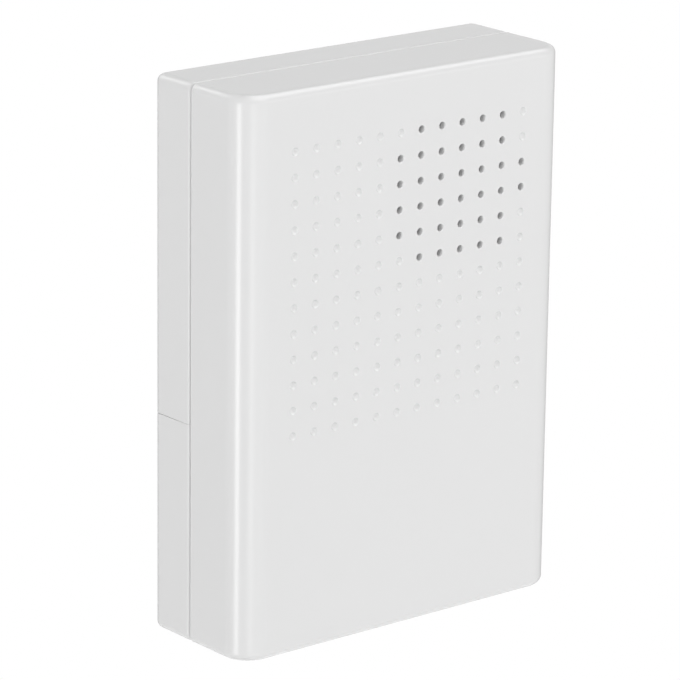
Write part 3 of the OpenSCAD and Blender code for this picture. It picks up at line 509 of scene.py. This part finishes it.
# a grid of tiles on the front: through tiles near the loudspeaker, blind ones elsewhere
def fieldTree():
    tree, given = newTree("hole_field", [
        ("Count", "Int"), ("Column Pitch", "Float"), ("Row Pitch", "Float"), ("Field Centre", "Vector"),
        ("Open Centre", "Vector"), ("Open Radius", "Float"),
        ("Through Tile", "Object"), ("Blind Tile", "Object"), ("Weld", "Float"), ("Material", "Material")])
    gaps = addNode(tree, "ShaderNodeMath", {"operation": "SUBTRACT"}, {1: 1.0}, {0: given["Count"]})
    across = addNode(tree, "ShaderNodeMath", {"operation": "MULTIPLY"},
                     links={0: gaps.outputs[0], 1: given["Column Pitch"]})
    down = addNode(tree, "ShaderNodeMath", {"operation": "MULTIPLY"},
                   links={0: gaps.outputs[0], 1: given["Row Pitch"]})
    grid = addNode(tree, "GeometryNodeMeshGrid", links={
        "Size X": across.outputs[0], "Size Y": down.outputs[0],
        "Vertices X": given["Count"], "Vertices Y": given["Count"]})
    upright = addNode(tree, "GeometryNodeTransform", values={"Rotation": (math.pi / 2, 0, 0)},
                      links={"Geometry": grid.outputs["Mesh"], "Translation": given["Field Centre"]})
    spot = addNode(tree, "GeometryNodeInputPosition")
    reach = addNode(tree, "ShaderNodeVectorMath", {"operation": "DISTANCE"},
                    links={0: spot.outputs[0], 1: given["Open Centre"]})
    near = addNode(tree, "FunctionNodeCompare", {"operation": "LESS_THAN", "data_type": "FLOAT"},
                   links={0: reach.outputs["Value"], 1: given["Open Radius"]})
    far = addNode(tree, "FunctionNodeBooleanMath", {"operation": "NOT"}, links={0: near.outputs[0]})
    joined = addNode(tree, "GeometryNodeJoinGeometry")
    tree.links.new(given["Geometry"], joined.inputs[0])
    for label, chosen in (("Through Tile", near), ("Blind Tile", far)):
        source = addNode(tree, "GeometryNodeObjectInfo", links={"Object": given[label]})
        copies = addNode(tree, "GeometryNodeInstanceOnPoints", links={
            "Points": upright.outputs[0], "Selection": chosen.outputs[0],
            "Instance": source.outputs["Geometry"]})
        tree.links.new(copies.outputs[0], joined.inputs[0])
    real = addNode(tree, "GeometryNodeRealizeInstances", links={"Geometry": joined.outputs[0]})
    welded = addNode(tree, "GeometryNodeMergeByDistance",
                     links={"Geometry": real.outputs[0], "Distance": given["Weld"]})
    return closeTree(tree, welded.outputs[0], given["Material"])


# bosses and posts on the back of the front wall, and the loudspeaker's seat and collar as (inner, outer, end)
fittings = {
    "rootY": -31, "soft": 0.15, "rings": [(20.2, 22.5, -27.5), (22.7, 24, -25.9)], "ringSteps": 72,
    "bossR": 3.5, "bossEndY": -11, "bossSoft": 0.2, "pilotR": 1.5, "pilotEndY": -23,
    "postR": 2.5, "postSteps": 24, "clampEndY": -25.9, "boardEndY": -21,
}


def addFittings(bm):
    f = fittings
    root, soft, boss, pilot, cut = f["rootY"], f["soft"], f["bossR"], f["pilotR"], f["bossSoft"]
    end = f["bossEndY"]
    for x, z in casePoints:
        turnPart(bm, x, z, [(0, root), (boss, root), (boss, end - cut), (boss - cut, end), (pilot + cut, end),
                            (pilot, end - cut), (pilot, f["pilotEndY"]), (0, f["pilotEndY"])])
    post = f["postR"]
    for points, end in ((clampPoints, f["clampEndY"]), (boardPoints, f["boardEndY"])):
        for x, z in points:
            turnPart(bm, x, z, [(0, root), (post, root), (post, end - soft), (post - soft, end), (0, end)],
                     f["postSteps"])
    for inner, outer, end in f["rings"]:
        turnPart(bm, *speakerAt, [(inner, root), (outer, root), (outer, end - soft), (outer - soft, end),
                                  (inner + soft, end), (inner, end - soft)], f["ringSteps"], True)


def makeFrontCover():
    f = front
    bm = bmesh.new()
    weight = bm.edges.layers.float.new("bevel_weight_edge")
    flat = (f["cornerSteps"] + 1, f["edgeSteps"])
    rise = [math.radians(90 * i / f["edgeSteps"]) for i in range(f["edgeSteps"] + 1)]
    top = [(f["edgeR"] * (1 - math.cos(a)), f["halfH"] - f["edgeR"] + f["edgeR"] * math.sin(a)) for a in rise]
    rows = [(inset, -z) for inset, z in reversed(top)] + top
    outer = sweepSkin(bm, planPath(f["halfW"], f["frontY"], f["cornerR"], f["rimY"], f["cornerSteps"]),
                      rows, flat, False)
    i, j = flat
    frameFlat(bm, [outer[i][j], outer[i + 1][j], outer[i + 1][j + 1], outer[i][j + 1]], f["frontY"], False)

    inW, inH = f["halfW"] - f["wall"], f["halfH"] - f["wall"]
    inner = sweepSkin(bm, planPath(inW, f["frontY"] + f["wall"], f["cornerR"] - f["wall"], f["rebateY"],
                                   f["cornerSteps"]), [(0, -inH), (0, inH)], (i, 0), True)
    frameFlat(bm, [inner[i][0], inner[i + 1][0], inner[i + 1][1], inner[i][1]], f["frontY"] + f["wall"], True)

    # rim, rebate and its floor, seen from behind
    rimW, rimH = f["halfW"] - f["rimT"], f["halfH"] - f["rimT"]
    corners = [(-rimW, -rimH), (rimW, -rimH), (rimW, rimH), (-rimW, rimH)]
    lip = [bm.verts.new((x, f["rimY"], z)) for x, z in corners]
    seat = [bm.verts.new((x, f["rebateY"], z)) for x, z in corners]
    hollow = [inner[0][0], inner[-1][0], inner[-1][1], inner[0][1]]
    left, right = outer[0], outer[-1]
    bm.faces.new([lip[0], lip[3]] + left[::-1])
    bm.faces.new([lip[2], lip[1]] + right)
    bm.faces.new([lip[3], lip[2], right[-1], left[-1]])
    bm.faces.new([lip[1], lip[0], left[0], right[0]])
    for k in range(4):
        m = (k + 1) % 4
        bm.faces.new((lip[k], lip[m], seat[m], seat[k]))
        bm.faces.new((seat[k], seat[m], hollow[m], hollow[k]))
    bm.normal_update()
    for e in bm.edges:
        if all(abs(v.co.y - f["rimY"]) < 1e-6 for v in e.verts):
            e[weight] = 1.0
    addFittings(bm)
    obj = fromBmesh("front_cover_shell", bm)
    soft = obj.modifiers.new("rim", "BEVEL")
    soft.limit_method = "WEIGHT"
    soft.width = f["rimSoft"] * mm
    soft.segments = f["rimSegments"]
    settle(obj)

    s, r, n = f["mouth"], f["holeR"], f["mouthSteps"]
    turns = [math.radians(90 * k / n) for k in range(n + 1)]
    mouth = [(r + s * (1 - math.sin(a)), s * (1 - math.cos(a))) for a in turns]
    through = fieldTile("through_tile", mouth + [(r, f["wall"])], True)
    d, q = f["dimpleDepth"], f["dimpleR"]
    ball = (q * q + d * d) / (2 * d)
    brim = [(q * a, d * b) for a, b in f["brim"]]
    bowl = [(q * c, d - ball + math.sqrt(ball * ball - q * q * c * c)) for c in f["bowl"]]
    blind = fieldTile("blind_tile", brim + bowl, False)
    runTree(obj, fieldTree(), {
        "Count": f["count"], "Column Pitch": f["pitchX"] * mm, "Row Pitch": f["pitchZ"] * mm,
        "Field Centre": (f["fieldX"] * mm, 0, f["fieldZ"] * mm),
        "Open Centre": (f["openX"] * mm, 0, f["openZ"] * mm), "Open Radius": f["openR"] * mm,
        "Through Tile": through, "Blind Tile": blind, "Weld": f["weld"] * mm, "Material": absWhite})
    for tile in (through, blind):
        bpy.data.objects.remove(tile)
    return shade(obj)


frontCover = makeFrontCover()
dress(frontCover, "case", "case_abs", "front_cover")
print("front cover made:", len(frontCover.data.polygons), "faces")

# rear shell and sliding cover: CAD copies whose edges are rounded as they leave the mould
rear = {
    "halfW": front["halfW"], "halfH": front["halfH"], "edgeR": front["edgeR"], "skin": 1.3, "near": 0.01,
    "grooveY": -12.8, "rollY": -11.7, "rollDrop": 0.06, "grooveSoft": 0.5, "grooveSegments": 4,
    "seamZ": -12.75, "coverZ": -13.05, "coverLift": 0.27, "gapY": -0.6, "shutY": -3.0, "seamSoft": 0.05,
    "soft": 0.12, "segments": 2,
}
# every CAD copy: points this close are one, faces this flat are one, and edges this sharp are rounded
copied = {"weld": 0.002, "roundedWeld": 0.001, "planeWeld": 0.0001, "flatDegrees": 0.4, "sharpDegrees": 35}


# a copy of a CAD node with its triangles merged to clean faces
def cadCopy(node):
    bm = bmesh.new()
    bm.from_mesh(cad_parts[node].data)
    bmesh.ops.remove_doubles(bm, verts=bm.verts, dist=copied["weld"] * mm)
    flat = math.radians(copied["flatDegrees"])
    bmesh.ops.dissolve_limit(bm, angle_limit=flat, verts=bm.verts, edges=bm.edges)
    return bm


# rounds the convex edges that the rule picks by both ends, in millimetres
def roundEdges(bm, rule, soft, segments, clamp=True):
    limit = math.radians(copied["sharpDegrees"])
    picked = [e for e in bm.edges if e.is_manifold and e.is_convex and e.calc_face_angle() > limit
              and all(rule(*(v.co / mm)) for v in e.verts)]
    bmesh.ops.bevel(bm, geom=picked, offset=soft * mm, offset_type="OFFSET", segments=segments, profile=0.5,
                    affect="EDGES", clamp_overlap=clamp, miter_outer="ARC")
    bmesh.ops.remove_doubles(bm, verts=bm.verts, dist=copied["roundedWeld"] * mm)
    return len(picked)


# how far a point lies past the centre of the nearest corner's rounding
def pastCorner(x, z):
    return abs(x) - rear["halfW"] + rear["edgeR"], abs(z) - rear["halfH"] + rear["edgeR"]


# on the outer edge along the groove between the two halves of the case
def onGroove(x, y, z):
    dx, dz = pastCorner(x, z)
    reach = max(dx, dz) if min(dx, dz) < 0 else math.hypot(dx, dz)
    return abs(y - rear["grooveY"]) < rear["near"] and reach > rear["skin"]


# the outside rolls in a little over the last millimetre before the groove
def rollIn(bm):
    bmesh.ops.bisect_plane(bm, geom=bm.verts[:] + bm.edges[:] + bm.faces[:], dist=copied["planeWeld"] * mm,
                           plane_co=(0, rear["rollY"] * mm, 0), plane_no=(0, 1, 0))
    for v in [v for v in bm.verts if onGroove(*(v.co / mm))]:
        dx, dz = pastCorner(v.co.x / mm, v.co.z / mm)
        inward = Vector((-max(dx, 0) * math.copysign(1, v.co.x), 0, -max(dz, 0) * math.copysign(1, v.co.z)))
        v.co += inward.normalized() * rear["rollDrop"] * mm


def anywhere(x, y, z):
    return True


def copyOut(name, bm, material):
    mesh = bpy.data.meshes.new(name)
    bm.to_mesh(mesh)
    bm.free()
    return shade(link(name, mesh, material))


# lift narrows the gap at the seam, from its full width at the back edge
def makeRearPiece(name, node, seamZ, lift):
    bm = cadCopy(node)
    near = rear["near"]
    for v in bm.verts:
        if abs(v.co.z / mm - seamZ) < near:
            t = min(max((v.co.y / mm - rear["gapY"]) / (rear["shutY"] - rear["gapY"]), 0), 1)
            v.co.z += lift * t * mm
    rollIn(bm)
    groove = roundEdges(bm, onGroove, rear["grooveSoft"], rear["grooveSegments"], False)
    seam = roundEdges(bm, lambda x, y, z: seamZ - near < z < seamZ + lift + near, rear["seamSoft"],
                      rear["segments"])
    rest = roundEdges(bm, anywhere, rear["soft"], rear["segments"])
    print(name, "edges rounded:", groove, seam, rest)
    return copyOut(name, bm, absWhite)


rearCase = makeRearPiece("rear_case_moulding", "rear_case", rear["seamZ"], 0)
dress(rearCase, "case", "case_abs", "rear_case")
batteryCover = makeRearPiece("battery_cover_moulding", "battery_cover", rear["coverZ"], rear["coverLift"])
dress(batteryCover, "cover", "case_abs", "battery_cover")

# tray, terminals and contacts: name, CAD node, finish, slot and edge rounding
softPieces = [
    ("battery_tray_moulding", "battery_tray", absWhite, "case_abs", 0.15),
    ("terminal_block_moulding", "terminal_block", polyamide, "terminal_polyamide", 0.25),
    ("terminal_inserts_turned", "terminal_inserts", brass, "brass", 0.1),
    ("positive_contact_strip", "positive_contact", nickelStrip, "contact_nickel", 0.1),
    ("negative_contact_strip", "negative_contact", nickelStrip, "contact_nickel", 0.1),
    ("link_contact_left_strip", "link_contact_left", nickelStrip, "contact_nickel", 0.1),
    ("link_contact_right_strip", "link_contact_right", nickelStrip, "contact_nickel", 0.1),
]
for name, node, material, slot, soft in softPieces:
    bm = cadCopy(node)
    roundEdges(bm, anywhere, soft, rear["segments"])
    dress(copyOut(name, bm, material), "case", slot, node)
print("rear shell, sliding cover, tray, terminals and contacts made")


# copies of a unit on the points of a mesh, each with its own turn
def copiesTree():
    tree, given = newTree("placed_copies", [("Unit", "Object"), ("Material", "Material")])
    source = addNode(tree, "GeometryNodeObjectInfo", links={"Object": given["Unit"]})
    turn = addNode(tree, "GeometryNodeInputNamedAttribute", {"data_type": "FLOAT_VECTOR"}, {"Name": "turn"})
    rotation = addNode(tree, "FunctionNodeEulerToRotation", links={0: turn.outputs["Attribute"]})
    copies = addNode(tree, "GeometryNodeInstanceOnPoints", links={
        "Points": given["Geometry"], "Instance": source.outputs["Geometry"], "Rotation": rotation.outputs[0]})
    return closeTree(tree, copies.outputs[0], given["Material"])


placedCopies = copiesTree()


# spots are (x, y, z) in millimetres and a turn about X, Y and Z in degrees
def placeCopies(name, unit, spots, material):
    mesh = bpy.data.meshes.new(name)
    mesh.from_pydata([[c * mm for c in spot[:3]] for spot in spots], [], [])
    turn = mesh.attributes.new("turn", "FLOAT_VECTOR", "POINT")
    for i, spot in enumerate(spots):
        turn.data[i].vector = [math.radians(c) for c in spot[3:]]
    obj = runTree(link(name, mesh), placedCopies, {"Unit": unit, "Material": material})
    bpy.data.objects.remove(unit)
    return shade(obj)


# screws: pan heads on threaded shanks, drawn with the seat at zero and the head towards the rear
caseScrew = {"headR": 2.8, "headH": 2.0, "shankR": 1.45, "length": 12.0, "seatY": -9.0}
clampScrew = {"headR": 2.0, "headH": 1.4, "shankR": 1.0, "length": 4.5, "seatY": -25.1}
boardScrew = {"headR": 2.0, "headH": 1.4, "shankR": 1.0, "length": 6.0, "seatY": -19.4}
fixingScrew = {"headR": 2.4, "headH": 1.6, "shankR": 1.3, "length": 9.1, "seatY": -11.0}
terminalScrew = {"headR": 1.7, "headH": 1.6, "shankR": 1.1, "length": 1.6, "seatY": -11.3, "slot": 0.6}
# what all screws share: the head as shares of its radius and height, the thread as shares of the shank's
# radius from threadY on, and the recesses as shares of the head, apart from slotRise and blunt in millimetres
screwForm = {
    "head": [(0, 1), (0.5, 0.99), (0.75, 0.93), (0.92, 0.76), (1, 0.5), (1, 0.06), (0.96, 0)],
    "threadY": -0.3, "pitch": 0.75, "root": 0.8, "tip": 0.9, "point": 0.3, "blunt": 0.1,
    "crossReach": 0.6, "crossHalf": 0.15, "crossRise": 0.02, "crossDepth": 0.5, "crossNarrow": 0.55,
    "slotReach": 2, "slotRise": 0.2,
}


# cuts a recess into a unit's head: an outline in X and Z from the top down, narrowing to the bottom
def cutRecess(unit, outline, top, bottom, narrow):
    bm = bmesh.new()
    loops = [[bm.verts.new((x * s, y, z * s)) for x, z in outline] for y, s in ((top, 1), (bottom, narrow))]
    for k in range(len(outline)):
        m = (k + 1) % len(outline)
        bm.faces.new((loops[0][k], loops[0][m], loops[1][m], loops[1][k]))
    bm.faces.new(loops[0])
    bm.faces.new(reversed(loops[1]))
    bmesh.ops.recalc_face_normals(bm, faces=bm.faces)
    cutter = fromBmesh("recess_cutter", bm)
    cut = unit.modifiers.new("recess", "BOOLEAN")
    cut.operation = "DIFFERENCE"
    cut.solver = "EXACT"
    cut.object = cutter
    settle(unit)
    bpy.data.objects.remove(cutter)
    return unit


def screwUnit(name, s):
    bm = bmesh.new()
    form, r, h, c = screwForm, s["headR"], s["headH"], s["shankR"]
    outline = [(a * r, b * h) for a, b in form["head"]] + [(c, 0)]
    pitch, root, y = form["pitch"] * c, form["root"] * c, form["threadY"]
    while y - pitch > -s["length"] + form["tip"] * c:
        outline += [(root, y), (c, y - pitch / 2)]
        y -= pitch
    outline += [(root, y), (form["point"] * c, -s["length"] + form["blunt"]), (0, -s["length"])]
    turnPart(bm, 0, 0, outline)
    unit = fromBmesh(name, bm)
    if "slot" in s:
        a, w = form["slotReach"] * r, s["slot"] / 2
        return cutRecess(unit, [(-a, -w), (a, -w), (a, w), (-a, w)], h + form["slotRise"], h - s["slot"], 1)
    a, b = form["crossReach"] * r, form["crossHalf"] * r
    cross = [(a, -b), (a, b), (b, b), (b, a), (-b, a), (-b, b),
             (-a, b), (-a, -b), (-b, -b), (-b, -a), (b, -a), (b, -b)]
    top, bottom = h + form["crossRise"] * r, h * (1 - form["crossDepth"])
    return cutRecess(unit, cross, top, bottom, form["crossNarrow"])


# turns are the places in degrees where each recess came to rest
def makeScrews(name, s, points, turns):
    spots = [(x, s["seatY"], z, 0, turn, 0) for (x, z), turn in zip(points, turns)]
    return placeCopies(name, screwUnit(name + "_unit", s), spots, screwSteel)


screwSets = [
    ("case_screws", caseScrew, casePoints, (12, 64, 37, 81)),
    ("clamp_screws", clampScrew, clampPoints, (20, 75, 48)),
    ("board_screws", boardScrew, boardPoints, (33, 5, 58)),
    ("terminal_fixing_screw", fixingScrew, [(terminalX, fixingZ)], (27,)),
]
for node, screw, points, turns in screwSets:
    dress(makeScrews(node + "_turned", screw, points, turns), "case", "screw_steel", node)
for side, z in zip(("upper", "lower"), terminalZs):
    dress(makeScrews("terminal_screw_" + side + "_turned", terminalScrew, [(terminalX, z)], (0,)),
          side + "_terminal_screw", "screw_steel", "terminal_screw_" + side)
print("screws made")


# tubes along the edges of a mesh
def tubeTree():
    tree, given = newTree("path_tube", [("Radius", "Float"), ("Sides", "Int"), ("Material", "Material")])
    path = addNode(tree, "GeometryNodeMeshToCurve", links={"Mesh": given["Geometry"]})
    ring = addNode(tree, "GeometryNodeCurvePrimitiveCircle",
                   links={"Radius": given["Radius"], "Resolution": given["Sides"]})
    tube = addNode(tree, "GeometryNodeCurveToMesh", values={"Fill Caps": True},
                   links={"Curve": path.outputs[0], "Profile Curve": ring.outputs[0]})
    return closeTree(tree, tube.outputs[0], given["Material"])


pathTube = tubeTree()
tubeCrisp = 50  # degrees: the ends stay crisp, the wall is smooth


def makeTube(name, routes, radius, sides, material):
    points, edges = [], []
    for route in routes:
        first = len(points)
        points += [[c * mm for c in p] for p in route]
        edges += [(k, k + 1) for k in range(first, len(points) - 1)]
    mesh = bpy.data.meshes.new(name)
    mesh.from_pydata(points, edges, [])
    tube = runTree(link(name, mesh), pathTube, {"Radius": radius * mm, "Sides": sides, "Material": material})
    return shade(tube, tubeCrisp)


# cell springs: wire that climbs and narrows from the plate to the cell; at is (x, way, z)
spring = {
    "y": cellY, "length": 7.5, "wire": 0.8, "sides": 12, "curls": 4, "plateR": 4.0, "cellR": 2.8, "steps": 32,
    "at": [(cellLeft, 1, cellZs[0]), (cellRight, -1, cellZs[1]), (cellLeft, 1, cellZs[2])],
}


def springRoute(x, way, z):
    s = spring
    count = s["steps"] * s["curls"]
    route = [(x, s["y"] + s["plateR"], z)]
    for i in range(count + 1):
        r = s["plateR"] + (s["cellR"] - s["plateR"]) * i / count
        a = 2 * math.pi * i / s["steps"]
        rise = s["wire"] + (s["length"] - 2 * s["wire"]) * i / count
        route.append((x + way * rise, s["y"] + r * math.cos(a), z + r * math.sin(a)))
    return route + [(x + way * s["length"], s["y"] + s["cellR"], z)]


springs = makeTube("cell_springs_wound", [springRoute(*at) for at in spring["at"]], spring["wire"] / 2,
                   spring["sides"], nickelStrip)
dress(springs, "case", "contact_nickel", "cell_springs")

# inner leads: insulated wire in fixed runs, straight at both ends and smooth between
lead = {
    "radius": 0.6, "sides": 16, "steps": 10, "runY": -19.4, "redX": -16.0, "blackX": -21.5,
    "bellX": (-26.75, -33.75), "tagX": -5.889, "lugY": -21.8, "tagZ": 2.6,
}


# a curve through all but the first and last points, which its ends run straight to
def smoothRoute(p):
    p = [Vector(point) for point in p]
    route = [p[0]]
    for i in range(1, len(p) - 2):
        a, b, c, d = p[i - 1:i + 3]
        for k in range(lead["steps"]):
            t = k / lead["steps"]
            route.append(0.5 * (2 * b + (c - a) * t + (2 * a - 5 * b + 4 * c - d) * t * t
                                + (3 * b - a - 3 * c + d) * t * t * t))
    return route + p[-2:]


# up the front of the tray, back behind the board and into it
def runToBoard(x):
    y = lead["runY"]
    return [(x, y, -18.75), (x, y, -9.75), (x, -18.4, -0.75), (x, -15.9, 7), (x, -15.9, 9.5),
            (x, -17.9, 11), (x, y, 11)]


def batteryRedRoute():
    y, z = lead["runY"], cellZs[0]
    return [(cellRight, y, z), (37, y, z), (12.25, y, z), (-12, y, z)] + runToBoard(lead["redX"])


def batteryBlackRoute():
    x, y, z = lead["blackX"], lead["runY"], cellZs[2]
    return [(-18.5, y, z), (-19.7, y, z), (x, y, z + 3), (x, y, z + 12)] + runToBoard(x)


def bellRoute(way, z, x):
    y = lead["runY"]
    return [(terminalX, -14.4, z), (terminalX, -17, z), (terminalX, -18.6, z),
            (terminalX + 2 * way, y, z + 1), (x, y, z + 5)] + runToBoard(x)


def speakerRoute(way):
    x, z = lead["tagX"], speakerAt[1] + way * lead["tagZ"]
    return [(x, lead["lugY"], z), (x, -20.3, z), (x - 0.5, -16.9, z), (x - 3, -15.4, z), (-13.5, -15.4, z),
            (-16, -16.4, z), (-16.5, -17.9, z), (-16.5, lead["runY"], z)]


leadRoutes = [
    ("battery_lead_red", redPvc, "red_pvc", batteryRedRoute()),
    ("battery_lead_black", blackPvc, "black_pvc", batteryBlackRoute()),
    ("bell_lead_upper", bluePvc, "blue_pvc", bellRoute(1, terminalZs[0], lead["bellX"][0])),
    ("bell_lead_lower", bluePvc, "blue_pvc", bellRoute(-1, terminalZs[1], lead["bellX"][1])),
    ("speaker_lead_red", redPvc, "red_pvc", speakerRoute(1)),
    ("speaker_lead_black", blackPvc, "black_pvc", speakerRoute(-1)),
]
for node, material, slot, route in leadRoutes:
    wire = makeTube(node + "_wire", [smoothRoute(route)], lead["radius"], lead["sides"], material)
    dress(wire, "case", slot, node)
print("springs and leads made")

# cells: a steel can with its button, in a plain shrunk jacket; drawn from the button's tip back along Y,
# with spots of (x, z, turn)
cell = {
    "y": cellY,
    "steps": 64,
    "spots": [(cellRight, cellZs[0], -90), (cellLeft, cellZs[1], 90), (cellRight, cellZs[2], -90)],
    "can": [
        (0, 0), (2.35, 0), (2.65, -0.12), (2.75, -0.35), (2.75, -0.9), (3.0, -1.1), (5.7, -1.15),
        (6.0, -1.03), (6.6, -1.03), (6.95, -1.2), (7.1, -1.6), (7.1, -49.9), (6.9, -50.3), (6.5, -50.47),
        (5.3, -50.47), (5.0, -50.3), (0, -50.3)],
    "jacket": [
        (6.2, -1.0), (6.7, -1.0), (7.1, -1.18), (7.25, -1.6), (7.25, -49.9), (7.1, -50.32), (6.7, -50.5),
        (6.25, -50.5), (6.25, -50.42), (6.65, -50.42), (7.0, -50.2), (7.12, -49.8), (7.12, -1.7),
        (7.0, -1.3), (6.65, -1.08), (6.2, -1.08)],
}


def makeCells(name, part, material):
    bm = bmesh.new()
    turnPart(bm, 0, 0, cell[part], cell["steps"], part == "jacket")
    spots = [(x, cell["y"], z, 0, 0, turn) for x, z, turn in cell["spots"]]
    return placeCopies(name, fromBmesh(name + "_unit", bm), spots, material)


cans = makeCells("cell_cans_drawn", "can", cellSteel)
dress(cans, "case", "plated_steel", "cell_upper", "cell_middle", "cell_lower")
jackets = makeCells("cell_jackets_shrunk", "jacket", jacketFilm)
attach(jackets, "case")
print("cells made")


# CAD nodes whose turned or cut shape stays take their finish
def coat(material, *nodes):
    for node in nodes:
        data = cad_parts[node].data
        data.materials.clear()
        data.materials.append(material)


coat(gasketFoam, "speaker_gasket")
coat(coneFilm, "speaker_cone", "speaker_surround", "dust_cap")
coat(coilCopper, "voice_coil")
coat(platedSteel, "speaker_basket", "speaker_top_plate", "speaker_yoke", "speaker_clamps")
coat(ferrite, "speaker_magnet")
coat(phenolic, "circuit_board", "speaker_tag_board")
coat(brass, "speaker_lugs")
coat(chipEpoxy, "melody_chip", "transistor")
coat(sleeveBlue, "large_capacitor", "small_capacitor")
coat(lacquer, "resistors")
print("loudspeaker and circuit board finished")
